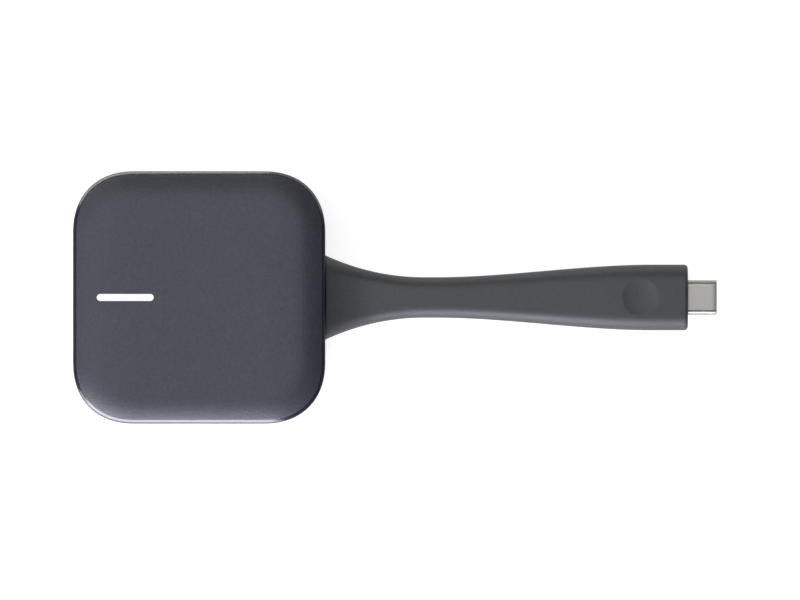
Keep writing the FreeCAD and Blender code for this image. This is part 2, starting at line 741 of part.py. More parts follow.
def lead_root(envelope):
    """Root of the moulding: flange and neck held by the housing, then the flare up to the first bend."""
    x_flare = half + root_to_lid
    flare = lead_slice(envelope, x_flare, hinge_xs[0], False, True)
    x_flange = cavity_half - fit_gap
    flange = box(x_flange - flange_length, x_flange, -flange_half_width, flange_half_width,
                 z_floor + bottom_radius - floor_thickness, z_frame - fit_gap)
    width, z0 = root_half_width, z_notch + fit_gap
    neck = box(cavity_half, x_flare, -width, width, z0, z_wall_top)
    bridge = box(x_flange - flange_length, cavity_half, -width, width, z0, z_frame - fit_gap)
    root = fuse([flange, bridge, neck, flare])
    return root.cut(cable_bore(x_flange - flange_length - cut_past, hinge_xs[0] + head_thickness))


def lead_link(envelope, number):
    """One of the neck's links, between two bend axes."""
    x0, x1 = hinge_xs[number - 1], hinge_xs[number]
    link = lead_slice(envelope, x0, x1, True, True)
    return link.cut(cable_bore(x0 - cut_past, x1 + head_thickness))


def lead_cable():
    """The cable inside the moulding, whole, from the puck's wires to the plug's card."""
    x0, x1 = cable_end_x, x_card0
    return Part.makeCylinder(cable_radius, x1 - x0, Vector(x0, 0, lead_height), X_AXIS)


# ---- Plug ----
def mould_block(grow):
    """Outer shape of the plug's inner moulding, grown by a gap."""
    h, t = mould_half_width + grow, mould_height / 2 + grow
    block = box(x_mould0 - grow, x_mould1 + grow, -h, h, lead_height - t, lead_height + t)
    along = [e for e in block.Edges if abs(e.Vertexes[0].X - e.Vertexes[1].X) > can_width / 2]
    return block.makeFillet(mould_corner, along)


def plug_grip(envelope):
    """Soft grip round the plug: last part of the moulding, with a shallow thumb dimple on both faces."""
    grip = lead_slice(envelope, hinge_xs[-1], x_grip_end, True, False)
    end_edges = [e for e in grip.Edges if all(abs(v.X - x_grip_end) < 1e-6 for v in e.Vertexes)]
    grip = grip.makeFillet(grip_end_radius, end_edges)
    ball_radius = (dimple_radius ** 2 + dimple_depth ** 2) / (2 * dimple_depth)
    x_dimple = x_grip_end - dimple_from_end
    thickness = lead_section(x_dimple)[1]
    for side in (-1, 1):
        z = lead_height + side * (thickness / 2 - dimple_depth + ball_radius)
        grip = grip.cut(Part.makeSphere(ball_radius, Vector(x_dimple, 0, z)))
    grip = grip.cut(mould_block(touch_gap)).cut(cable_bore(hinge_xs[-1] - cut_past, x_mould0 + cut_past))
    grip = grip.cut(Part.makeCylinder(crimp_radius + fit_gap / 2, crimp_length,
                                      Vector(x_can0 - crimp_length - fit_gap, 0, lead_height), X_AXIS))
    return grip.cut(stadium_bar(x_mould1 - cut_past, x_grip_end + cut_past, shell_width / 2 + fit_gap / 2,
                                shell_height + fit_gap, lead_height))


def plug_inner_mould():
    """Hard inner moulding that locks the can, the crimp and the shell together."""
    gap = touch_gap
    block = mould_block(0)
    h, t = can_width / 2 + gap, can_height / 2 + gap
    block = block.cut(box(x_can0 - gap, x_can1 + gap, -h, h, lead_height - t, lead_height + t))
    block = block.cut(stadium_bar(x_can1 - cut_past, x_mould1 + cut_past, shell_width / 2 + gap,
                                  shell_height + 2 * gap, lead_height))
    return block.cut(Part.makeCylinder(crimp_radius + gap, crimp_length + 2 * cut_past,
                                       Vector(x_can0 - crimp_length - cut_past, 0, lead_height), X_AXIS))


def plug_rear_can():
    """Folded metal can round the plug's card."""
    h, t = can_width / 2, can_height / 2
    can = box(x_can0, x_can1, -h, h, lead_height - t, lead_height + t)
    w = can_wall
    can = can.cut(box(x_can0 + w, x_can1 - w, -h + w, h - w, lead_height - t + w, lead_height + t - w))
    can = can.cut(stadium_bar(x_can1 - cut_past, x_can1 + cut_past, shell_width / 2 + touch_gap,
                              shell_height + 2 * touch_gap, lead_height))
    return can.cut(cable_bore(x_can0 - cut_past, x_can0 + cut_past))


def cable_crimp():
    """Crimped ring that ties the cable's braid to the can."""
    x0 = x_can0 - crimp_length
    ring = Part.makeCylinder(crimp_radius, crimp_length, Vector(x0, 0, lead_height), X_AXIS)
    return ring.cut(cable_bore(x0 - cut_past, x_can0 + cut_past))


def plug_card():
    """Small circuit board that the cable's wires are soldered to."""
    h, t = card_width / 2, card_thickness / 2
    card = box(x_card0, x_card1, -h, h, lead_height - t, lead_height + t)
    corner = (card_width - shell_width) / 2 + shell_wall + card_corner_margin
    z0, z1 = lead_height - card_thickness, lead_height + card_thickness
    for sy in (-1, 1):
        y0, y1 = sorted((sy * (h - corner), sy * (h + cut_past)))
        card = card.cut(box(x_shell0 - fit_gap, x_card1 + cut_past, y0, y1, z0, z1))
    return card


def plug_chip():
    """Cable marker chip on the plug's card."""
    x0, z0 = x_card0 + marker_from_end, lead_height + card_thickness / 2
    length, width, height = marker_size
    return box(x0, x0 + length, -width / 2, width / 2, z0, z0 + height)


def plug_shell():
    """Drawn steel shell of the USB-C plug."""
    outside = stadium_bar(x_shell0, x_shell1, shell_width / 2, shell_height, lead_height)
    inside = stadium_bar(x_shell0 - cut_past, x_shell1 + cut_past, shell_width / 2 - shell_wall,
                         shell_height - 2 * shell_wall, lead_height)
    return outside.cut(inside)


def plug_insulator():
    """Moulded insert in the shell, with the mouth that takes the socket's tongue."""
    gap = touch_gap
    body = stadium_bar(x_insulator0, x_insulator1, shell_width / 2 - shell_wall - gap,
                       shell_height - 2 * (shell_wall + gap), lead_height)
    h, t = mouth_width / 2, mouth_height / 2
    return body.cut(box(x_tongue0, x_shell1 + cut_past, -h, h, lead_height - t, lead_height + t))


def plug_contacts():
    """Two rows of gilt contacts on the mouth's upper and lower faces."""
    strips = []
    x0, x1 = x_tongue0 + contact_start, x_insulator1 - contact_end
    for side in (-1, 1):
        z_face = lead_height + side * mouth_height / 2
        z0, z1 = sorted((z_face - side * touch_gap, z_face - side * (touch_gap + contact_thickness)))
        for n in range(contact_count):
            y = (n - (contact_count - 1) / 2) * contact_pitch
            strips.append(box(x0, x1, y - contact_width / 2, y + contact_width / 2, z0, z1))
    return Part.makeCompound(strips)


def plug_latches():
    """Sprung steel arms at both sides of the mouth that hold the plug in its socket."""
    arms = []
    t = mouth_height / 2 - latch_slim
    for sy in (-1, 1):
        outer = sy * (mouth_width / 2 - touch_gap)
        inner = outer - sy * latch_thickness
        y0, y1 = sorted((outer, inner))
        arms.append(box(x_tongue0 + latch_start, x_insulator1 - latch_end, y0, y1,
                        lead_height - t, lead_height + t))
    return Part.makeCompound(arms)


# ---- Write every sub-part ----
def main():
    os.makedirs("parts", exist_ok=True)
    envelope = lead_envelope()
    makers = [
        button_lid, light_pipe, return_pads, lower_housing, foot_pad, middle_frame, housing_screws,
        main_board, processor_shield, radio_shield, processor_chip, radio_chip, flash_chip,
        timing_crystal, power_inductors, capacitors, heat_spreader, thermal_pad, antenna_left,
        antenna_right, indicator_lamps, light_shade, switch_body, switch_stem, board_connector,
        lead_connector, lead_wires, cable_clamp, clamp_screws, lead_cable, plug_inner_mould,
        plug_rear_can, cable_crimp, plug_card, plug_chip, plug_shell, plug_insulator, plug_contacts,
        plug_latches,
    ]
    shapes = {maker.__name__: maker() for maker in makers}
    shapes["lead_root"] = lead_root(envelope)
    for number in range(1, hinge_count):
        shapes["lead_link_%d" % number] = lead_link(envelope, number)
    shapes["plug_grip"] = plug_grip(envelope)
    for name, shape in sorted(shapes.items()):
        state = "ok" if shape.isValid() and shape.Volume > 0 else "BAD"
        print("%-18s %s solids %2d volume %9.2f" % (name, state, len(shape.Solids), shape.Volume))
        shape.exportStep("parts/%s.step" % name)


main()
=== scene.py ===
"""Wireless screen-casting dongle: a square puck with a press-down lid, a short flexible lead and a slim data plug.

Every length is in metres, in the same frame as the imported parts: the puck's foot is centred on the origin,
+X runs along the lead to the plug and +Z is up. Sections follow the order in which the object is put together.
"""

import json

import bpy
import numpy as np
from mathutils import Matrix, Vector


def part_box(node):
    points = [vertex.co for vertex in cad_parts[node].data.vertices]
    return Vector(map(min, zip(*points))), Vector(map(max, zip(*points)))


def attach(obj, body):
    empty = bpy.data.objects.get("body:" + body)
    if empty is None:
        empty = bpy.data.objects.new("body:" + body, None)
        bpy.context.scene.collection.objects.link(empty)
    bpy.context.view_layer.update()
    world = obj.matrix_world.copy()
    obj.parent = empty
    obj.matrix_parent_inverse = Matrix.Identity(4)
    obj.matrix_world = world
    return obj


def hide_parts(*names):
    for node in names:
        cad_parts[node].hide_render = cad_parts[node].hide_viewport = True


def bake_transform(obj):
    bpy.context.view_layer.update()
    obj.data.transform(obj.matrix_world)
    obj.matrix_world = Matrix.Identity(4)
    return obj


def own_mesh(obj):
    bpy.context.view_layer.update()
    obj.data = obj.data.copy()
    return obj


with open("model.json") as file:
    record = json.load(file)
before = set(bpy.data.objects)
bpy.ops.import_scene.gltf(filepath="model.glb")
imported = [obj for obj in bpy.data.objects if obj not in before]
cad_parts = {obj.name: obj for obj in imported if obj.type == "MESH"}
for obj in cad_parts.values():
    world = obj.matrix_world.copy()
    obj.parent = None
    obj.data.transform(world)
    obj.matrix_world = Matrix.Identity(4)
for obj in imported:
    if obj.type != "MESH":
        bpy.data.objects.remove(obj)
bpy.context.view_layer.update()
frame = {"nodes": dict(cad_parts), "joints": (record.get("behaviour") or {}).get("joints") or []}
MM = 0.001


# ---- Lower housing -------------------------------------------------------------------------------------------------
# The puck's bottom shell, injection moulded in dark grey ABS with a fine spark-eroded grain. Its wall leans in
# towards the foot, its bottom edge is a wide roll, and its corners are squarer than a quarter circle. Inside stand
# screw bosses, bosses for the cable clamp's screws and two fences that hold the lead's root.

housing_low, housing_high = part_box("lower_housing")
lid_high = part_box("button_lid")[1]
foot_low, foot_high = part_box("foot_pad")
board_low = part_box("main_board")[0]
clamp_low, clamp_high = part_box("cable_clamp")
screws_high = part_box("housing_screws")[1]
bend_joints = [joint for joint in frame["joints"] if joint["name"].startswith("lead_bend")]
lead_height = bend_joints[0]["pos_m"][2]

puck_half = lid_high.x
corner_size, corner_power = 14.8 * MM, 2.27
corner_at = puck_half - corner_size
lip_rise, recess_gap = 1.3 * MM, 0.1 * MM
housing_base, housing_rim, lip_top = housing_low.z, housing_high.z - lip_rise, housing_high.z
roll_radius, wall_lean = 3.2 * MM, np.radians(4.0)
floor_thick, inner_round, edge_round = 1.6 * MM, 1.6 * MM, 0.25 * MM
floor_top = housing_base + floor_thick
lip_out, lip_in = corner_size - 1.3 * MM, corner_size - 2.2 * MM
recess_reach = foot_high.x - corner_at + recess_gap
middle_reach = 0.6 * MM    # the flat face that closes a profile starts this far in from the corner centres
sunk = 0.3 * MM            # bosses and ribs start this far inside the wall that they stand on
spark_grain = 0.65 * MM    # the mould's texture is near 0.1 mm and is drawn coarser, so that it shows
melt_cloud = 16 * MM


def srgb(code):
    """Turns an sRGB hex colour such as "#51525a" into linear red, green, blue and alpha."""
    value = np.array([int(code[at:at + 2], 16) for at in (1, 3, 5)]) / 255
    linear = np.where(value <= 0.04045, value / 12.92, ((value + 0.055) / 1.055) ** 2.4)
    return (*linear.tolist(), 1.0)


def add_node(tree, kind, settings=None, inputs=None):
    """Adds one shader node with its properties set, and its inputs given a value or linked to a socket."""
    made = tree.nodes.new(kind)
    for name, value in (settings or {}).items():
        setattr(made, name, value)
    for name, value in (inputs or {}).items():
        if isinstance(value, bpy.types.NodeSocket):
            tree.links.new(value, made.inputs[name])
        else:
            made.inputs[name].default_value = value
    return made


def finish_of(name, sockets):
    """A new material: (material, node tree, its Principled shader) with those sockets set."""
    material = bpy.data.materials.new(name)
    material.use_nodes = True
    shader = material.node_tree.nodes["Principled BSDF"]
    for socket, value in sockets.items():
        shader.inputs[socket].default_value = value
    return material, material.node_tree, shader


def moulded_skin(name, dark, light, roughness, ior, fleck, depth, bends=False):
    """A moulded skin: fine pits from the mould's spark erosion, over slow clouds where the melt flowed.

    fleck is how far the pits darken and lighten the colour, and depth how deep they are. A piece that bends keeps
    its pattern by reading where each point is at rest.
    """
    material, tree, shader = finish_of(name, {"Roughness": roughness, "IOR": ior})
    if bends:
        place = add_node(tree, "ShaderNodeAttribute", {"attribute_name": "rest_place"}).outputs["Vector"]
    else:
        place = add_node(tree, "ShaderNodeTexCoord").outputs["Object"]
    pits = add_node(tree, "ShaderNodeTexNoise", inputs={"Vector": place, "Scale": 1 / spark_grain, "Detail": 1.5})
    flow = add_node(tree, "ShaderNodeTexNoise", inputs={"Vector": place, "Scale": 1 / melt_cloud, "Detail": 2.0})
    tint = add_node(tree, "ShaderNodeMix", {"data_type": "RGBA"}, {"Factor": flow.outputs["Fac"]})
    tint.inputs["A"].default_value, tint.inputs["B"].default_value = srgb(dark), srgb(light)
    shade = add_node(tree, "ShaderNodeMapRange", inputs={
        "Value": pits.outputs["Fac"], "From Min": 0.3, "From Max": 0.7, "To Min": 1 - fleck, "To Max": 1 + fleck})
    colour = add_node(tree, "ShaderNodeVectorMath", {"operation": "SCALE"}, {"Scale": shade.outputs["Result"]})
    tree.links.new(tint.outputs["Result"], colour.inputs["Vector"])
    tree.links.new(colour.outputs["Vector"], shader.inputs["Base Color"])
    bump = add_node(tree, "ShaderNodeBump", inputs={"Height": pits.outputs["Fac"], "Distance": depth})
    tree.links.new(bump.outputs["Normal"], shader.inputs["Normal"])
    return material


def piece_from_grid(name, points, material, body=None, wrap_rows=True, sharp=35):
    """Closed shapes from a (copies, rows, columns, 3) array, or one shape from a (rows, columns, 3) array.

    Neighbours in the array share a four-sided face. The columns always close on themselves. The rows close on
    themselves too, or the first and last row are each covered with one flat face. Faces are turned to point
    outwards, by the sign of the volume they enclose.
    """
    points = points.reshape(-1, *points.shape[-3:])
    index = np.arange(points[..., 0].size).reshape(points.shape[:3])
    ahead = np.roll(index, -1, axis=2)
    quads = np.stack([index, ahead, np.roll(ahead, -1, axis=1), np.roll(index, -1, axis=1)], axis=-1)
    quads = quads[:, :index.shape[1] - (not wrap_rows)].reshape(-1, 4)
    flat = points.reshape(-1, 3)
    a, b, c, d = (flat[quads[:, k]] for k in range(4))
    volume = (np.cross(a, b) * c).sum() + (np.cross(a, c) * d).sum()
    faces = quads.tolist()
    if not wrap_rows:
        for row, way in ((points[:, 0], -1), (points[:, -1], 1)):
            middle = row.mean(axis=1, keepdims=True)
            volume += way * (np.cross(row, np.roll(row, -1, axis=1)) * middle).sum()
        faces += index[:, 0, ::-1].tolist() + index[:, -1].tolist()
    if volume < 0:
        faces = [face[::-1] for face in faces]
    mesh = bpy.data.meshes.new(name)
    mesh.from_pydata(flat.tolist(), [], faces)
    mesh.shade_smooth()
    mesh.set_sharp_from_angle(angle=np.radians(sharp))
    mesh.materials.append(material)
    piece = bpy.data.objects.new(name, mesh)
    bpy.context.scene.collection.objects.link(piece)
    if body:
        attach(piece, body)
    return piece


def arc(centre, radius, start, end, steps):
    """Points of a circular arc in a profile's plane: centre + radius * (cos angle, sin angle).

    Angles are in degrees from the outward direction, upwards.
    """
    angle = np.radians(np.linspace(start, end, steps))
    return np.stack([centre[0] + radius * np.cos(angle), centre[1] + radius * np.sin(angle)], axis=1)


def square_directions(per_corner=28, per_side=22):
    """Where each point round the puck starts, and the direction it moves in as the outline grows: two (n, 2) arrays.

    At a corner the start is the corner's centre and the direction is (cos t, sin t), each to the power 2 / p,
    which draws a superellipse of power p. Along a side the start slides and the direction is straight out.
    """
    t = np.linspace(0, np.pi / 2, per_corner)
    corner = np.stack([np.cos(t), np.sin(t)], axis=1).clip(0) ** (2 / corner_power)
    slide = np.linspace(corner_at, -corner_at, per_side + 2)[1:-1]
    starts = np.concatenate([np.full((per_corner, 2), corner_at),
                             np.stack([slide, np.full(per_side, corner_at)], axis=1)])
    ways = np.concatenate([corner, np.tile([0.0, 1.0], (per_side, 1))])
    turn = np.array([[0.0, 1.0], [-1.0, 0.0]])
    quarter_turns = [np.linalg.matrix_power(turn, k) for k in range(4)]
    return np.concatenate([starts @ q for q in quarter_turns]), np.concatenate([ways @ q for q in quarter_turns])


def round_puck(profile):
    """Carries a profile of (reach, height) rows round the puck: point = start + reach * direction, at that height."""
    starts, ways = square_directions()
    reach, height = profile[:, 0, None, None], profile[:, 1, None]
    plan = starts[None] + reach * ways[None]
    return np.concatenate([plan, np.broadcast_to(height, plan.shape[:2])[..., None]], axis=2)


def posts(places, profile, count=36):
    """Round posts: each (radius, height) row of the profile turned about an upright axis through every place.

    A point is the place plus radius * (cos turn, sin turn), at the row's height.
    """
    turn = np.linspace(0, 2 * np.pi, count, endpoint=False)
    ring = np.stack([np.cos(turn), np.sin(turn)], axis=1)
    radius, height = np.array(profile).T[:, None, :, None]
    plan = np.array(places)[:, None, None] + radius[..., None] * ring
    return np.concatenate([plan, np.broadcast_to(height[..., None], (*plan.shape[:3], 1))], axis=3)


def bars(limits, corner=0.2 * MM, per_corner=4):
    """Upright bars, one for each (x0, x1, y0, y1, z0, z1): a rectangle with round corners and bevelled ends.

    A point is the bar's middle, plus or minus its half size less the corner, plus corner * (cos t, sin t).
    """
    x0, x1, y0, y1, z0, z1 = np.array(limits).T[:, :, None, None]
    quarter = np.linspace(0, np.pi / 2, per_corner)
    t = np.concatenate([quarter + k * np.pi / 2 for k in range(4)])
    side_x, side_y = np.repeat([1, -1, -1, 1], per_corner), np.repeat([1, 1, -1, -1], per_corner)
    inset = np.array([corner, 0, 0, corner])[:, None]
    x = (x0 + x1) / 2 + side_x * ((x1 - x0) / 2 - corner - inset) + corner * np.cos(t)
    y = (y0 + y1) / 2 + side_y * ((y1 - y0) / 2 - corner - inset) + corner * np.sin(t)
    z = np.where(np.arange(4)[:, None] < 2, z0 + corner - inset, z1 - corner + inset)
    return np.stack([x, y, np.broadcast_to(z, x.shape)], axis=3)


def corners_at(x, y):
    """The four points (+-x, +-y)."""
    return [(x, y), (-x, y), (-x, -y), (x, -y)]


def cut_opening(piece, limits, corner=0.1 * MM):
    """Cuts a box-shaped opening through a piece, as a core in the mould leaves it."""
    cutter = piece_from_grid("opening", bars([limits], corner), piece.data.materials[0], wrap_rows=False)
    cut = piece.modifiers.new("opening", "BOOLEAN")
    cut.object, cut.operation, cut.solver = cutter, "DIFFERENCE", "EXACT"
    shaped = bpy.data.meshes.new_from_object(piece.evaluated_get(bpy.context.evaluated_depsgraph_get()))
    piece.modifiers.clear()
    piece.data = shaped
    shaped.shade_smooth()
    shaped.set_sharp_from_angle(angle=np.radians(35))
    bpy.data.objects.remove(cutter)


roll_height = housing_base + roll_radius
roll_reach = corner_size - (roll_radius + (housing_rim - roll_height) * np.sin(wall_lean)) / np.cos(wall_lean)
housing_profile = np.concatenate([
    [(middle_reach, foot_high.z), (recess_reach, foot_high.z), (recess_reach, housing_base + edge_round)],
    arc((recess_reach + edge_round, housing_base + edge_round), edge_round, 180, 270, 5),
    arc((roll_reach, roll_height), roll_radius, -90, -4, 22),
    arc((corner_size - edge_round, housing_rim - edge_round), edge_round, 0, 90, 6),
    [(lip_out, housing_rim), (lip_out, lip_top), (lip_in, lip_top)],
    arc((lip_in - inner_round, floor_top + inner_round), inner_round, 0, -90, 8),
    [(middle_reach, floor_top)],
])
# Spark-eroded ABS: an even satin grey that breaks highlights up into fine points.
housing_abs = moulded_skin("moulded_abs_spark_eroded", "#1e1f25", "#222329", 0.5, 1.52, 0.14, 0.025 * MM)
housing = piece_from_grid("housing_shell", round_puck(housing_profile), housing_abs, wrap_rows=False)
root_half, root_thick = 10.05 * MM, 5.6 * MM
notch_gap, past_wall = 0.1 * MM, 1 * MM
notch_low, notch_half = lead_height - root_thick / 2 - notch_gap, root_half + notch_gap
cut_opening(housing, (lip_in + corner_at - past_wall, puck_half + past_wall, -notch_half, notch_half,
                      notch_low, lid_high.z))
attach(housing, "puck")
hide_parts("lower_housing")

boss_radius, screw_head_radius = 2.6 * MM, 1.9 * MM
screw_at = screws_high.x - screw_head_radius
clamp_boss_radius, clamp_boss_bevel = 1.7 * MM, 0.2 * MM
clamp_at, clamp_screw_y = (clamp_low.x + clamp_high.x) / 2, clamp_high.y - clamp_boss_radius
fence_gap, fence_thick, fence_half, fence_y, fence_top = 1.6 * MM, 1.0 * MM, 4.3 * MM, 8.3 * MM, 7.9 * MM
fence_from, fence_to = clamp_high.x + fence_gap, clamp_high.x + fence_gap + fence_thick
bosses = posts(corners_at(screw_at, screw_at), [(boss_radius, floor_top - sunk), (boss_radius, board_low.z - sunk),
                                                (boss_radius - sunk, board_low.z)])
clamp_bosses = posts([(clamp_at, clamp_screw_y), (clamp_at, -clamp_screw_y)],
                     [(clamp_boss_radius, floor_top - sunk), (clamp_boss_radius, lead_height - sunk),
                      (clamp_boss_radius - clamp_boss_bevel, lead_height)])
fences = bars([(fence_from, fence_to, y - fence_half, y + fence_half, floor_top - sunk, fence_top)
               for y in (fence_y, -fence_y)])
for name, shapes in (("housing_screw_bosses", bosses), ("housing_clamp_bosses", clamp_bosses),
                     ("housing_fences", fences)):
    piece_from_grid(name, shapes, housing_abs, "puck", wrap_rows=False)


# ---- Foot ----------------------------------------------------------------------------------------------------------
# One silicone pad glued into a recess under the housing, over the screws. A shallow groove runs round it, and its
# edges are soft because silicone is moulded with no sharp corners.

foot_reach = foot_high.x - corner_at
groove_reach, groove_width, groove_depth = foot_reach - 3.0 * MM, 0.8 * MM, 0.3 * MM
foot_round, groove_round = 0.2 * MM, 0.1 * MM


def grained(name, dark, light, grain, roughness, depth, metallic=0.0, stretch=(1, 1, 1), bends=False):
    """A material whose colour wanders between two shades over a noise of that grain, which also lifts the surface.

    grain and depth are in metres. stretch squeezes the grain along an axis, so that it is drawn out along the
    others, as rolling and brushing do. A piece that bends reads where each point is at rest.
    """
    material, tree, shader = finish_of(name, {"Roughness": roughness, "Metallic": metallic})
    if bends:
        place = add_node(tree, "ShaderNodeAttribute", {"attribute_name": "rest_place"}).outputs["Vector"]
    else:
        place = add_node(tree, "ShaderNodeTexCoord").outputs["Object"]
    drawn = add_node(tree, "ShaderNodeMapping", inputs={"Vector": place, "Scale": stretch}).outputs["Vector"]
    noise = add_node(tree, "ShaderNodeTexNoise", inputs={"Vector": drawn, "Scale": 1 / grain, "Detail": 3.0})
    ramp = add_node(tree, "ShaderNodeMix", {"data_type": "RGBA"}, {"Factor": noise.outputs["Fac"]})
    ramp.inputs["A"].default_value, ramp.inputs["B"].default_value = srgb(dark), srgb(light)
    tree.links.new(ramp.outputs["Result"], shader.inputs["Base Color"])
    bump = add_node(tree, "ShaderNodeBump", inputs={"Height": noise.outputs["Fac"], "Distance": depth})
    tree.links.new(bump.outputs["Normal"], shader.inputs["Normal"])
    return material


foot_profile = np.concatenate([
    [(middle_reach, foot_high.z), (foot_reach, foot_high.z)],
    arc((foot_reach - foot_round, foot_low.z + foot_round), foot_round, 0, -90, 6),
    [(groove_reach + groove_round, foot_low.z), (groove_reach, foot_low.z + groove_depth),
     (groove_reach - groove_width, foot_low.z + groove_depth),
     (groove_reach - groove_width - groove_round, foot_low.z), (middle_reach, foot_low.z)],
])
# Silicone straight from its mould: dull and slightly cloudy, with no crisp highlight.
silicone = grained("moulded_silicone_charcoal", "#202226", "#27292e", 0.5 * MM, 0.62, 0.01 * MM)
foot = piece_from_grid("foot", round_puck(foot_profile), silicone, "puck", wrap_rows=False)
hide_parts("foot_pad")


# ---- Screws --------------------------------------------------------------------------------------------------------
# Thread-forming steel screws, turned and plated with black zinc: four from below through the housing and the board
# into the frame, and two smaller ones that hold the cable clamp.


def dress(material, *nodes):
    """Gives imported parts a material."""
    for node in nodes:
        frame["nodes"][node].data.materials.clear()
        frame["nodes"][node].data.materials.append(material)


# Black zinc over turned steel: a dark metal sheen with fine lines round the shank.
dress(grained("turned_steel_black_zinc", "#353539", "#4a4a4e", 0.3 * MM, 0.38, 0.003 * MM, 1.0, (1, 1, 6)),
      "housing_screws", "clamp_screws")


# ---- Main board and the plug's card --------------------------------------------------------------------------------
# Glass-epoxy laminate under a dark green solder mask. Copper left under the mask shows as paler tracks and pours
# between narrow gaps.

track_pitch, track_gap = 1.6 * MM, 0.11     # real tracks are finer, and the gap is a share of the pitch


def masked_laminate():
    """Solder mask over etched copper: Voronoi cells by street distance are pours, and their borders bare laminate."""
    material, tree, shader = finish_of("glass_epoxy_green_solder_mask", {"Roughness": 0.32, "IOR": 1.55})
    place = add_node(tree, "ShaderNodeTexCoord").outputs["Object"]
    cells = add_node(tree, "ShaderNodeTexVoronoi", {"feature": "F2", "distance": "MANHATTAN"},
                     {"Vector": place, "Scale": 1 / track_pitch, "Randomness": 0.6})
    nearest = add_node(tree, "ShaderNodeTexVoronoi", {"feature": "F1", "distance": "MANHATTAN"},
                       {"Vector": place, "Scale": 1 / track_pitch, "Randomness": 0.6})
    between = add_node(tree, "ShaderNodeMath", {"operation": "SUBTRACT"})
    tree.links.new(cells.outputs["Distance"], between.inputs[0])
    tree.links.new(nearest.outputs["Distance"], between.inputs[1])
    copper = add_node(tree, "ShaderNodeMath", {"operation": "GREATER_THAN"})
    tree.links.new(between.outputs["Value"], copper.inputs[0])
    copper.inputs[1].default_value = track_gap
    tint = add_node(tree, "ShaderNodeMix", {"data_type": "RGBA"}, {"Factor": copper.outputs["Value"]})
    tint.inputs["A"].default_value, tint.inputs["B"].default_value = srgb("#0b2a1c"), srgb("#15452d")
    tree.links.new(tint.outputs["Result"], shader.inputs["Base Color"])
    bump = add_node(tree, "ShaderNodeBump", inputs={"Height": copper.outputs["Value"], "Distance": 0.02 * MM})
    tree.links.new(bump.outputs["Normal"], shader.inputs["Normal"])
    return material


# Solder mask is glossy and dark green, and paler where copper lies under it.
dress(masked_laminate(), "main_board", "plug_card")


# ---- Chips and their cans ------------------------------------------------------------------------------------------
# Transfer-moulded black epoxy packages, matt with a fine filler speckle. Two of them sit under shield cans pressed
# from tinned sheet, and so does the plug's card. The crystal has its own welded nickel lid.

# Moulded epoxy: dull black with a fine speckle of glass filler.
dress(grained("moulded_epoxy_package", "#17171a", "#26262a", 0.12 * MM, 0.55, 0.006 * MM),
      "processor_chip", "radio_chip", "flash_chip", "plug_chip")
# Tinned sheet: bright and slightly milky, with faint lines from rolling.
dress(grained("pressed_sheet_tinned", "#b6b6ae", "#cfcfc8", 0.5 * MM, 0.3, 0.003 * MM, 1.0, (1, 8, 1)),
      "processor_shield", "radio_shield", "plug_rear_can", "cable_crimp")
# Nickel: a warm bright grey with hardly any grain.
dress(grained("nickel_lid_seam_welded", "#bdb9ae", "#d2cec2", 0.25 * MM, 0.24, 0.002 * MM, 1.0),
      "timing_crystal")


# ---- Inductors and capacitors --------------------------------------------------------------------------------------
# Inductors are pressed from grey ferrite powder. Capacitors are fired ceramic, tan in the middle, with tinned ends
# that the solder takes to.

capacitor_end, capacitor_row, row_spacing = 0.3 * MM, 1.2 * MM, 2.0 * MM


def ceramic_with_tinned_ends():
    """Tan ceramic where x is near the middle of a part, and tin past that. Rows stand a whole number of spacings
    apart, so distance from a row's middle is x wrapped to one spacing."""
    material, tree, shader = finish_of("fired_ceramic_tinned_ends", {"Roughness": 0.4})
    place = add_node(tree, "ShaderNodeTexCoord").outputs["Object"]
    x = add_node(tree, "ShaderNodeSeparateXYZ", inputs={"Vector": place}).outputs["X"]
    wrapped = add_node(tree, "ShaderNodeMath", {"operation": "WRAP"})
    tree.links.new(x, wrapped.inputs[0])
    wrapped.inputs[1].default_value = capacitor_row + row_spacing / 2
    wrapped.inputs[2].default_value = capacitor_row - row_spacing / 2
    out = add_node(tree, "ShaderNodeMath", {"operation": "COMPARE"})
    tree.links.new(wrapped.outputs["Value"], out.inputs[0])
    out.inputs[1].default_value, out.inputs[2].default_value = capacitor_row, capacitor_end
    grain = add_node(tree, "ShaderNodeTexNoise", inputs={"Vector": place, "Scale": 1 / (0.15 * MM)})
    body = add_node(tree, "ShaderNodeMix", {"data_type": "RGBA"}, {"Factor": grain.outputs["Fac"]})
    body.inputs["A"].default_value, body.inputs["B"].default_value = srgb("#8d6a48"), srgb("#a17c58")
    tint = add_node(tree, "ShaderNodeMix", {"data_type": "RGBA"},
                    {"Factor": out.outputs["Value"], "A": srgb("#c6c6c0"), "B": body.outputs["Result"]})
    tree.links.new(tint.outputs["Result"], shader.inputs["Base Color"])
    tin = add_node(tree, "ShaderNodeMath", {"operation": "SUBTRACT"})
    tin.inputs[0].default_value = 1.0
    tree.links.new(out.outputs["Value"], tin.inputs[1])
    tree.links.new(tin.outputs["Value"], shader.inputs["Metallic"])
    return material


# Pressed ferrite: dull, dark grey and a little gritty.
dress(grained("pressed_ferrite", "#35353a", "#4a4a50", 0.2 * MM, 0.6, 0.01 * MM), "power_inductors")
# Fired ceramic: a matt tan body between two bright metal ends.
dress(ceramic_with_tinned_ends(), "capacitors")


# ---- Cooling and antennas ------------------------------------------------------------------------------------------
# A blanked aluminium plate spreads the processor's heat over the floor, through a soft pad of filled silicone gel.
# Two antennas are stamped from gilt copper sheet, whose rolling lines run along the strip.

# Rolled aluminium: pale and satin, streaked the way it was rolled.
dress(grained("rolled_aluminium_sheet", "#c3c5c8", "#d6d8da", 0.4 * MM, 0.36, 0.003 * MM, 1.0, (1, 10, 1)),
      "heat_spreader")
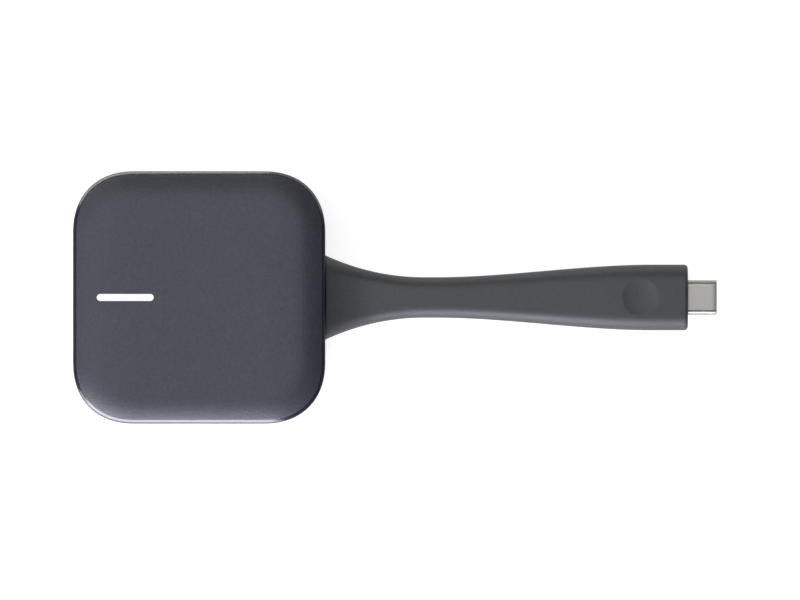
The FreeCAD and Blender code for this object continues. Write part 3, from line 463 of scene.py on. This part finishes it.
# Filled gel: flat blue-grey, like putty.
dress(grained("filled_silicone_gel", "#7f93a8", "#93a6b9", 0.3 * MM, 0.7, 0.01 * MM), "thermal_pad")
# Gilt copper: warm yellow, with fine streaks along the strip.
dress(grained("stamped_copper_gilt", "#d8a85a", "#e8bd72", 0.25 * MM, 0.27, 0.002 * MM, 1.0, (8, 1, 8)),
      "antenna_left", "antenna_right")


# ---- Lamps and switch ----------------------------------------------------------------------------------------------
# Three white lamps are capped with yellow phosphor resin. The push switch is moulded nylon with a paler stem that
# the lid's plunger presses.

# Phosphor resin: an even lemon yellow with a soft gloss.
dress(grained("phosphor_resin", "#ece3a4", "#f3edbb", 0.1 * MM, 0.35, 0.004 * MM), "indicator_lamps")
# Black nylon: a low sheen over faint mottling.
dress(grained("moulded_nylon_black", "#1c1c1f", "#27272b", 0.25 * MM, 0.5, 0.006 * MM), "switch_body")
# Acetal: ivory, smooth and waxy.
dress(grained("moulded_acetal_ivory", "#cbc6b6", "#d6d1c2", 0.25 * MM, 0.42, 0.004 * MM), "switch_stem")


# ---- Connectors, wires and clamp -----------------------------------------------------------------------------------
# The lead's six insulated wires end in a plug of natural nylon, pushed into a header on the board. A saddle stamped
# from zinc-plated steel holds the cable down on its cradle.

wires_low, wires_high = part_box("lead_wires")
fan_wide, fan_narrow = 3.6 * MM, 1.29 * MM
wire_colours = ("#b3302a", "#2b2b2e", "#3d7a45", "#e2e0da", "#c9a13a", "#3a5f9e")


def coloured_insulation():
    """Each wire's own colour: y over the fan's half width at that x says which wire a point is on."""
    material, tree, shader = finish_of("extruded_insulation", {"Roughness": 0.45})
    place = add_node(tree, "ShaderNodeTexCoord").outputs["Object"]
    parts = add_node(tree, "ShaderNodeSeparateXYZ", inputs={"Vector": place})
    fan = add_node(tree, "ShaderNodeMapRange", inputs={
        "Value": parts.outputs["X"], "From Min": wires_low.x, "From Max": wires_high.x,
        "To Min": fan_wide, "To Max": fan_narrow})
    share = add_node(tree, "ShaderNodeMath", {"operation": "DIVIDE"})
    tree.links.new(parts.outputs["Y"], share.inputs[0])
    tree.links.new(fan.outputs["Result"], share.inputs[1])
    across = add_node(tree, "ShaderNodeMapRange", inputs={"Value": share.outputs["Value"], "From Min": -1.0})
    ramp = add_node(tree, "ShaderNodeValToRGB", inputs={"Fac": across.outputs["Result"]})
    ramp.color_ramp.interpolation = "CONSTANT"
    stops = ramp.color_ramp.elements
    for number, code in enumerate(wire_colours):
        stop = stops[0] if number == 0 else stops[1] if number == 1 else stops.new(1.0)
        stop.position, stop.color = number / len(wire_colours), srgb(code)
    tree.links.new(ramp.outputs["Color"], shader.inputs["Base Color"])
    return material


# Natural nylon: a milky cream with a soft sheen.
dress(grained("moulded_nylon_natural", "#d6cdb4", "#e0d8c2", 0.3 * MM, 0.45, 0.005 * MM),
      "board_connector", "lead_connector", "plug_inner_mould")
# Extruded insulation: plain bright colours with an even, low gloss.
dress(coloured_insulation(), "lead_wires")
# Zinc plate: a cool bright grey, streaked along the strip.
dress(grained("stamped_steel_zinc_plated", "#b4b8bc", "#c9ccd0", 0.35 * MM, 0.33, 0.003 * MM, 1.0, (1, 6, 1)),
      "cable_clamp")


# ---- Inner frame, light shade and return pads ----------------------------------------------------------------------
# A black moulded frame is screwed down over the board, and a light-tight shade stands round the lamps. Four silicone
# pads on the frame push the lid back up; their sides bulge a little.

# Black ABS that is never seen: plain, with a low sheen.
dress(grained("moulded_abs_black", "#1b1b1e", "#242428", 0.3 * MM, 0.48, 0.008 * MM), "middle_frame", "light_shade")

pads_low, pads_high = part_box("return_pads")
pad_radius, pad_bulge, pad_round = 1.8 * MM, 0.06 * MM, 0.15 * MM
pad_at = pads_high.x - pad_radius
pad_height = pads_high.z - pads_low.z
pad_share = np.linspace(0, 1, 9)
pad_profile = np.concatenate([
    [(pad_radius - pad_round - pad_bulge, pads_low.z)],
    np.stack([pad_radius - pad_bulge + pad_bulge * np.sin(np.pi * pad_share),
              pads_low.z + pad_round + (pad_height - 2 * pad_round) * pad_share], axis=1),
    [(pad_radius - pad_round - pad_bulge, pads_high.z)],
])
# Unfilled silicone: pale, milky and soft-looking.
pad_silicone = grained("moulded_silicone_translucent", "#c4c4be", "#d2d2cc", 0.4 * MM, 0.5, 0.005 * MM)
pads = piece_from_grid("lid_return_pads", posts(corners_at(pad_at, pad_at), pad_profile), pad_silicone, "puck",
                       wrap_rows=False)
press_travel = next(joint["range_m"][1] for joint in frame["joints"] if joint["name"] == "button_press")
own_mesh(pads)
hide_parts("return_pads")


# ---- Lid -----------------------------------------------------------------------------------------------------------
# The whole top of the puck is the push button. It is moulded like the housing and gently crowned. A wider roll runs
# down to a narrow facet round its edge, which the mould-maker polished, and a slot through it holds the light bar.
# Under it stand a plunger over the switch, ribs, bosses over the pads, stops and four snap hooks.

facet_width, facet_drop, facet_steps = 0.85 * MM, 0.7 * MM, 7
roll_width, roll_start, roll_end = 6.2 * MM, np.radians(2.2), np.radians(29.0)
lid_wall, skirt_wall, skirt_fall = 1.6 * MM, 1.0 * MM, 1.1 * MM
seam, skirt_round, facet_round = 0.6 * MM, 0.15 * MM, 0.5 * MM
skirt_low = housing_rim + seam
roll_from = corner_size - facet_width - roll_width
crown_radius = roll_from / np.sin(roll_start)
edge_radius = roll_width / (np.sin(roll_end) - np.sin(roll_start))
edge_centre = (roll_from - edge_radius * np.sin(roll_start),
               lid_high.z - crown_radius * (1 - np.cos(roll_start)) - edge_radius * np.cos(roll_start))
light_low, light_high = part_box("light_pipe")
light_width, light_length, light_gap = 1.6 * MM, 13.5 * MM, 0.05 * MM
light_at = (light_low.x + light_high.x) / 2


def lid_height(reach):
    """The lid's top at a reach from the corner centres: a wide circular crown, then a tighter circular roll.

    Each is the circle's centre height plus the root of radius squared less the squared reach from its centre.
    """
    crown = lid_high.z - crown_radius + np.sqrt(crown_radius ** 2 - reach ** 2)
    roll = edge_centre[1] + np.sqrt(np.maximum(edge_radius ** 2 - (reach - edge_centre[0]) ** 2, 0))
    return np.where(reach < roll_from, crown, roll)


def corner_reach(plan):
    """How far points of a plan lie from the corner centres, by the outline's own superellipse measure.

    With p the corner power, it is the p-th root of the sum of how far x and y pass the corner's centre, each to p.
    """
    past = np.maximum(np.abs(plan) - corner_at, 0) ** corner_power
    return past.sum(axis=-1) ** (1 / corner_power)


def to_slot(ring, shares):
    """Rows of plan points from a ring in to the light's slot.

    Each point goes straight to the nearest point of the slot's spine and stops at the slot's edge. shares says
    how far along that way each row lies, from 0 at the ring to 1 at the slot.
    """
    run = (light_length - light_width) / 2
    spine = np.stack([np.clip(ring[:, 0], light_at - run, light_at + run), np.zeros(len(ring))], axis=1)
    away = ring - spine
    edge = spine + (light_width / 2 + light_gap) * away / np.linalg.norm(away, axis=1, keepdims=True)
    return ring[None] + shares[:, None, None] * (edge - ring)[None]


starts, ways = square_directions()
roll_share, crowding = 0.78, 1.6     # how much of the roll follows the edge, and how much rows crowd at the slot
inner_reach = corner_size - facet_width - roll_share * roll_width
top_ring = starts + inner_reach * ways
top_plan = to_slot(top_ring, (1 - (1 - np.linspace(0, 1, 40)[1:]) ** crowding)[::-1])
top_rows = np.concatenate([top_plan, lid_height(corner_reach(top_plan))[..., None]], axis=2)
slot_wall = top_rows[:1] - [0, 0, lid_wall / 2]

facet_top = float(lid_height(np.array(corner_size - facet_width)))
facet_faces = np.degrees(np.arctan2(facet_width, facet_drop))
facet_end = facet_top - facet_drop - facet_round * np.tan(np.radians(facet_faces / 2))
roll_reaches = np.linspace(inner_reach, corner_size - facet_width, 16)
edge_rows = round_puck(np.concatenate([
    np.stack([roll_reaches, lid_height(roll_reaches)], axis=1),
    arc((corner_size - facet_round, facet_end), facet_round, facet_faces, 0, facet_steps),
    [(corner_size, skirt_low + skirt_round),
     (corner_size - skirt_round, skirt_low), (corner_size - skirt_wall, skirt_low),
     (corner_size - skirt_wall, lid_high.z - lid_wall - skirt_fall), (inner_reach, lid_high.z - lid_wall)],
]))
under_plan = to_slot(top_ring, np.array([0.5, 1.0]))
under_rows = np.concatenate([under_plan, np.full((*under_plan.shape[:2], 1), lid_high.z - lid_wall)], axis=2)

# Soft-grained ABS: a blue-grey satin whose pits catch the light as fine specks. Its polished facet mirrors the
# lights as one thin bright line.
lid_abs = moulded_skin("moulded_abs_soft_grain", "#212228", "#26272e", 0.5, 1.52, 0.18, 0.045 * MM)
polished_abs = moulded_skin("moulded_abs_polished_facet", "#1b1c21", "#1e1f25", 0.2, 1.52, 0.03, 0.001 * MM)
lid = piece_from_grid("lid_shell", np.concatenate([slot_wall, top_rows, edge_rows, under_rows]), lid_abs, "lid",
                      sharp=14)
lid.data.materials.append(polished_abs)
facet_row = len(slot_wall) + len(top_rows) + len(roll_reaches) - 1
polished = np.zeros((len(lid.data.polygons) // len(starts), len(starts)), np.int32)
polished[facet_row:facet_row + facet_steps] = 1
lid.data.polygons.foreach_set("material_index", polished.ravel())
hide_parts("button_lid")

lid_root = lid_high.z - lid_wall + sunk
stem_top, frame_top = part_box("switch_stem")[1].z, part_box("middle_frame")[1].z
plate_thick, touch_gap, stop_gap, post_bevel = 1.2 * MM, 0.02 * MM, 0.03 * MM, 0.2 * MM
post_radius, stop_radius, stop_from_edge = 2.2 * MM, 1.0 * MM, 16 * MM
plate_low = frame_top - plate_thick
hook_at, hook_y, hook_half, hook_thick, hook_catch = 12 * MM, 24.4 * MM, 2 * MM, 1.2 * MM, 0.8 * MM
lid_posts = (
    ("lid_plunger", [(0, 0)], post_radius, stem_top),
    ("lid_pad_bosses", corners_at(pad_at, pad_at), post_radius, pads_high.z),
    ("lid_stops", corners_at(pad_at, puck_half - stop_from_edge), stop_radius, frame_top + press_travel + stop_gap),
)
for name, places, radius, foot_height in lid_posts:
    profile = [(radius - post_bevel, foot_height + touch_gap), (radius, foot_height + touch_gap + post_bevel),
               (radius, lid_root)]
    piece_from_grid(name, posts(places, profile), lid_abs, "lid", wrap_rows=False)
rib_reach, rib_half, rib_height = 24 * MM, 0.5 * MM, 1.2 * MM
rib_foot = lid_high.z - lid_wall - rib_height
hooks = []
for x, y in corners_at(hook_at, 1):
    near, far, tip = y * hook_y, y * (hook_y + hook_thick), y * (hook_y + hook_thick + hook_catch)
    hooks.append((x - hook_half, x + hook_half, min(near, far), max(near, far), plate_low - hook_catch, lid_root))
    hooks.append((x - hook_half, x + hook_half, min(near, tip), max(near, tip),
                  plate_low - hook_catch, plate_low - touch_gap))
ribs = [(0, rib_reach, -rib_half, rib_half, rib_foot, lid_root),
        (-rib_half, rib_half, -rib_reach, rib_reach, rib_foot, lid_root)]
for name, limits in (("lid_snap_hooks", hooks), ("lid_ribs", ribs)):
    piece_from_grid(name, bars(limits), lid_abs, "lid", wrap_rows=False)


# ---- Light bar -----------------------------------------------------------------------------------------------------
# A bar of milky acrylic, flush in the lid's slot and lit from below by three lamps in a black shade. Diffusing
# filler spreads the lamps' light, so the bar glows evenly.

# Lit acrylic: white from end to end, with no bright spots over the lamps.
milky = grained("milky_acrylic_lit", "#9c9c9a", "#a6a6a4", 0.4 * MM, 0.35, 0.002 * MM)
milky_shader = milky.node_tree.nodes["Principled BSDF"]
milky_shader.inputs["Emission Color"].default_value = srgb("#ffffff")
milky_shader.inputs["Emission Strength"].default_value = 0.42
dress(milky, "light_pipe")


# ---- Lead ----------------------------------------------------------------------------------------------------------
# One soft moulding of dark grey thermoplastic elastomer. It starts as a block that fills a notch in the housing's
# wall, flares from there, is slimmest in the middle and widens to a thumb grip. Its flat faces run into full-round
# sides.

hinges = [joint["pos_m"][0] for joint in bend_joints]
wall_x, grip_end = puck_half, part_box("plug_grip")[1].x
neck_half, head_half = 4.84 * MM, 7.84 * MM
neck_thick, head_thick = 5.8 * MM, 7.5 * MM
flare_length, flare_power = 24.0 * MM, 2.1
root_rise, root_rise_length, root_to_lid = 2.4 * MM, 12.0 * MM, 0.2 * MM
head_from, head_run = 26.0 * MM, 52.0 * MM
half_pitch = (hinges[1] - hinges[0]) / 2
bore = 1.65 * MM


def lead_size(x):
    """The lead's half width, thickness and middle height at x.

    It has a power-law flare at the puck, where its top also rises by the square of the distance, and a smooth
    step at the head.
    """
    root = np.clip(1 - (x - wall_x) / flare_length, 0, 1) ** flare_power
    t = np.clip((x - wall_x - head_from) / head_run, 0, 1)
    head = t * t * (3 - 2 * t)
    rise = root_rise * np.clip(1 - (x - wall_x) / root_rise_length, 0, 1) ** 2
    return (neck_half + (root_half - neck_half) * root + (head_half - neck_half) * head,
            neck_thick + (root_thick - neck_thick) * root + (head_thick - neck_thick) * head + rise,
            lead_height + rise / 2)


def slot_rings(x, half_width, thickness, middle=lead_height, inset=0.0, per_side=24, per_flat=12):
    """Points of a slot-shaped section at each x: half-round sides of per_side points, and flats of per_flat points.

    y = share * flat + r * cos(angle) and z = r * sin(angle). share is -1 or 1 on the round sides and slides between
    them on the flats, where the angle stays a quarter turn. inset moves the outline inwards.
    """
    rise = np.linspace(-np.pi / 2, np.pi / 2, per_side)
    slide = np.linspace(1, -1, per_flat + 2)[1:-1]
    share = np.concatenate([np.ones(per_side), slide, -np.ones(per_side), -slide])
    angle = np.concatenate([rise, np.full(per_flat, np.pi / 2), rise + np.pi, np.full(per_flat, -np.pi / 2)])
    radius = (thickness / 2 - inset)[:, None]
    y = share * (half_width - thickness / 2)[:, None] + radius * np.cos(angle)
    z = (middle + np.zeros(len(x)))[:, None] + radius * np.sin(angle)
    return np.stack([np.broadcast_to(x[:, None], y.shape), y, z], axis=2)


def bored(rings):
    """Adds the cable's bore to rings of a section: each point's partner lies straight inwards, on the bore."""
    axis = np.array([0, 0, lead_height])
    across = (rings - axis) * [0, 1, 1]
    inner = rings * [1, 0, 0] + axis + bore * across / np.linalg.norm(across, axis=2, keepdims=True)
    return np.concatenate([rings, inner[::-1]])


def keep_rest_place(piece):
    """Stores where each point is at rest, so that the pattern bends with the piece."""
    points = np.empty(len(piece.data.vertices) * 3, np.float32)
    piece.data.vertices.foreach_get("co", points)
    piece.data.attributes.new("rest_place", "FLOAT_VECTOR", "POINT").data.foreach_set("vector", points)


def bend_with_lead(piece):
    """Stores where each point of a piece lies at rest, then moves its placement into its mesh."""
    keep_rest_place(piece)
    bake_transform(piece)


# Moulded elastomer: a neutral grey, duller than the lid, with broad soft highlights.
elastomer = moulded_skin("moulded_elastomer_dark_grey", "#252726", "#2a2c2b", 0.55, 1.52, 0.12, 0.02 * MM,
                         bends=True)
for number, hinge in enumerate(hinges):
    x = np.linspace(hinge - half_pitch, hinge + half_pitch, 25)
    length = piece_from_grid("lead_bend_%d" % (number + 1), bored(slot_rings(x, *lead_size(x))), elastomer)
    bend_with_lead(length)
    if 0 < number:
        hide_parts("lead_link_%d" % number)

x = np.linspace(wall_x + root_to_lid, hinges[0] - half_pitch, 36)
root_flare = piece_from_grid("lead_root_flare", bored(slot_rings(x, *lead_size(x))), elastomer)
anchor_half, anchor_gap = 12.5 * MM, 0.3 * MM
root_block = piece_from_grid("lead_root_block", bars([
    (lip_in + corner_at, wall_x + root_to_lid, -root_half, root_half, notch_low + notch_gap, housing_rim),
    (fence_to + anchor_gap, lip_in + corner_at - notch_gap, -anchor_half, anchor_half,
     floor_top + inner_round, fence_top)]), elastomer, wrap_rows=False)
for piece in (root_flare, root_block):
    keep_rest_place(piece)
    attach(piece, "puck")
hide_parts("lead_root")


# ---- Cable in the lead ---------------------------------------------------------------------------------------------
# A round cable runs through the whole moulding, from its clamp in the puck to the plug's card. Its jacket is
# extruded in black.

cable_low, cable_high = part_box("lead_cable")
cable_radius = (cable_high.y - cable_low.y) / 2
# Extruded jacket: black, with a low and even sheen.
jacket = grained("extruded_jacket_black", "#19191b", "#232326", 0.3 * MM, 0.5, 0.005 * MM, bends=True)
cable_ends = [cable_low.x] + [hinge - half_pitch for hinge in hinges] + [hinges[-1] + half_pitch, cable_high.x]
turn = np.linspace(0, 2 * np.pi, 28, endpoint=False)
cable_names = ["cable_in_puck"] + ["cable_bend_%d" % n for n in range(1, len(hinges) + 1)] + ["cable_in_plug"]
for number, name in enumerate(cable_names):
    x = np.linspace(cable_ends[number], cable_ends[number + 1], 17)[:, None]
    tube = np.stack(np.broadcast_arrays(x, cable_radius * np.cos(turn), lead_height + cable_radius * np.sin(turn)),
                    axis=2)
    length = piece_from_grid(name, tube, jacket, wrap_rows=False)
    if 0 < number < len(cable_names) - 1:
        bend_with_lead(length)
    else:
        keep_rest_place(length)
        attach(length, "plug" if number else "puck")
    if number == 0:
        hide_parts("lead_cable")


# ---- Thumb grip ----------------------------------------------------------------------------------------------------
# The wide end of the lead's moulding. It ends in a flat face with a small rounded edge, and a shallow round dimple
# on both faces shows where the thumb pushes.

dimple_radius, dimple_depth, dimple_at = 4.4 * MM, 0.4 * MM, grip_end - 11.3 * MM
end_round = 0.8 * MM
grip_start = hinges[-1] + half_pitch
grip_x = np.concatenate([np.linspace(grip_start, grip_end - end_round, 110),
                         grip_end - end_round + end_round * np.sin(np.linspace(0, np.pi / 2, 9))[1:]])
past_round = np.maximum(grip_x - (grip_end - end_round), 0)
grip_inset = end_round - np.sqrt(np.maximum(end_round ** 2 - past_round ** 2, 0))
outside = slot_rings(grip_x, *lead_size(grip_x), grip_inset, per_flat=72)
from_dimple = np.hypot(outside[..., 0] - dimple_at, outside[..., 1])
ball = (dimple_radius ** 2 + dimple_depth ** 2) / (2 * dimple_depth)
hollow = np.sqrt(np.maximum(ball ** 2 - from_dimple ** 2, 0)) - (ball - dimple_depth)
outside[..., 2] -= np.sign(outside[..., 2] - lead_height) * np.maximum(hollow, 0)
shell_low, shell_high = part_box("plug_shell")
mouth_gap, mouth_rows = 0.05 * MM, 4
mouth_half, mouth_thick = shell_high.y + mouth_gap, shell_high.z - shell_low.z + 2 * mouth_gap
inside = slot_rings(np.linspace(grip_end, grip_start, mouth_rows), np.full(mouth_rows, mouth_half),
                    np.full(mouth_rows, mouth_thick), per_flat=72)
grip = piece_from_grid("thumb_grip", np.concatenate([outside, inside]), elastomer)
keep_rest_place(grip)
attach(grip, "plug")
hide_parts("plug_grip")


# ---- Plug ----------------------------------------------------------------------------------------------------------
# The shell is deep drawn from stainless steel and nickel plated, so it is seamless and satin, with a rounded mouth.
# Inside it a black insert carries two rows of gilt contacts, between two sprung steel latch arms.

shell_wall, lip_round = 0.25 * MM, 0.12 * MM
shell_half, shell_thick = shell_high.y, shell_high.z - shell_low.z
lip = np.linspace(0, np.pi, 9)
shell_x = np.concatenate([np.linspace(shell_low.x, shell_high.x - lip_round, 14),
                          shell_high.x - lip_round + lip_round * np.sin(lip[1:]),
                          np.linspace(shell_high.x - lip_round, shell_low.x, 5)[1:]])
shell_inset = np.concatenate([np.zeros(14), (1 - np.cos(lip[1:])) * shell_wall / 2, np.full(4, shell_wall)])
shell_rings = slot_rings(shell_x, np.full(len(shell_x), shell_half), np.full(len(shell_x), shell_thick),
                         inset=shell_inset, per_flat=16)
# Nickel over drawn steel: a warm satin grey with fine lines along the draw.
plated = grained("drawn_steel_nickel_plated", "#85847c", "#919088", 0.25 * MM, 0.34, 0.002 * MM, 1.0, (1, 12, 12))
shell = piece_from_grid("plug_drawn_shell", shell_rings, plated, "plug")
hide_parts("plug_shell")
# Glass-filled polymer: black, with faint flow marks.
dress(grained("moulded_lcp_black", "#151517", "#1e1e21", 0.2 * MM, 0.42, 0.004 * MM), "plug_insulator")
# Gold plate: deep yellow and nearly a mirror.
dress(grained("stamped_copper_gold_plated", "#e0b052", "#efc56c", 0.2 * MM, 0.22, 0.001 * MM, 1.0, (1, 6, 6)),
      "plug_contacts")
# Bright spring steel: a clean grey, streaked along the arm.
dress(grained("spring_steel_bright", "#a9abad", "#bfc1c3", 0.25 * MM, 0.28, 0.002 * MM, 1.0, (1, 6, 6)),
      "plug_latches")


# ---- Studio --------------------------------------------------------------------------------------------------------
# A lit white acrylic table stands under an even dome that is brighter from the left. Softboxes overhead and low in
# front and behind draw the bright lines on the edges.

# Lit acrylic sheet: an even white that shows only the faintest shadow.
table, _, table_shader = finish_of("lit_white_acrylic_table", {"Base Color": srgb("#a0a0a0"), "Roughness": 0.9})
table_shader.inputs["Emission Color"].default_value = srgb("#ffffff")
table_shader.inputs["Emission Strength"].default_value = 0.8
floor_mesh = bpy.data.meshes.new("floor")
side, floor_height = 3.0, -0.02 * MM
floor_mesh.from_pydata([(x, y, floor_height) for x, y in corners_at(side, side)], [], [(0, 1, 2, 3)])
floor_mesh.materials.append(table)
floor = bpy.data.objects.new("floor", floor_mesh)
bpy.context.scene.collection.objects.link(floor)

lights_aim = np.array([30, 0, 10]) * MM


def softbox(name, azimuth, elevation, distance, size, radiance, colour):
    """A rectangular area light that faces the lead's root. Azimuth 0 is along -Y, towards the front, and 90 is
    along +X, both in degrees. A panel's power is its radiance times pi times its area."""
    light = bpy.data.lights.new(name, "AREA")
    light.shape, light.size, light.size_y = "RECTANGLE", size[0], size[1]
    light.energy, light.color = radiance * np.pi * size[0] * size[1], srgb(colour)[:3]
    lamp = bpy.data.objects.new(name, light)
    turn, rise = np.radians(azimuth), np.radians(elevation)
    back = np.array([np.sin(turn) * np.cos(rise), -np.cos(turn) * np.cos(rise), np.sin(rise)])
    lamp.location = lights_aim + distance * back
    side_way = np.array([np.cos(turn), np.sin(turn), 0])
    rotation = np.stack([side_way, np.cross(back, side_way), back], axis=1)
    lamp.rotation_euler = Matrix(rotation.tolist()).to_euler()
    bpy.context.scene.collection.objects.link(lamp)


softbox("overhead_softbox", 212, 79, 2.6, (0.85, 1.1), 3.45, "#f6f6ff")
softbox("front_softbox", -24, 25, 1.2, (1.3, 0.42), 19.0, "#efedff")
softbox("front_strip", -27, 12, 1.2, (1.9, 0.19), 13.0, "#f6f6ff")
softbox("back_strip", 212, 11, 1.2, (1.6, 0.13), 12.0, "#ffffff")
softbox("fill_strip", 140, 11, 1.2, (1.6, 0.16), 3.6, "#ffffff")

dome_way, dome_low, dome_high = (-0.34, 0.22, 0.914), 0.12, 1.25
dome_from, dome_to, dome_colour = 0.74, 0.95, (0.955, 0.965, 1.05, 1)
world = bpy.data.worlds.new("studio")
world.use_nodes = True
sky_tree = world.node_tree
sky_way = add_node(sky_tree, "ShaderNodeTexCoord").outputs["Generated"]
facing = add_node(sky_tree, "ShaderNodeVectorMath", {"operation": "DOT_PRODUCT"})
sky_tree.links.new(sky_way, facing.inputs[0])
facing.inputs[1].default_value = dome_way
glow = add_node(sky_tree, "ShaderNodeMapRange", {"interpolation_type": "SMOOTHSTEP"}, {
    "Value": facing.outputs["Value"], "From Min": dome_from, "From Max": dome_to,
    "To Min": dome_low, "To Max": dome_high})
sky_tree.links.new(glow.outputs["Result"], sky_tree.nodes["Background"].inputs["Strength"])
sky_tree.nodes["Background"].inputs["Color"].default_value = dome_colour
bpy.context.scene.world = world
bpy.context.scene.view_settings.view_transform = "Standard"

camera_data = bpy.data.cameras.new("camera")
camera_data.lens, camera_data.sensor_width = 400.0, 36.0
view_width, view_at, focus_height = 190.35 * MM, (47.75 * MM, -0.6 * MM), 9.0 * MM
camera = bpy.data.objects.new("camera", camera_data)
camera.location = (*view_at, focus_height + view_width * camera_data.lens / camera_data.sensor_width)
bpy.context.scene.collection.objects.link(camera)
bpy.context.scene.camera = camera
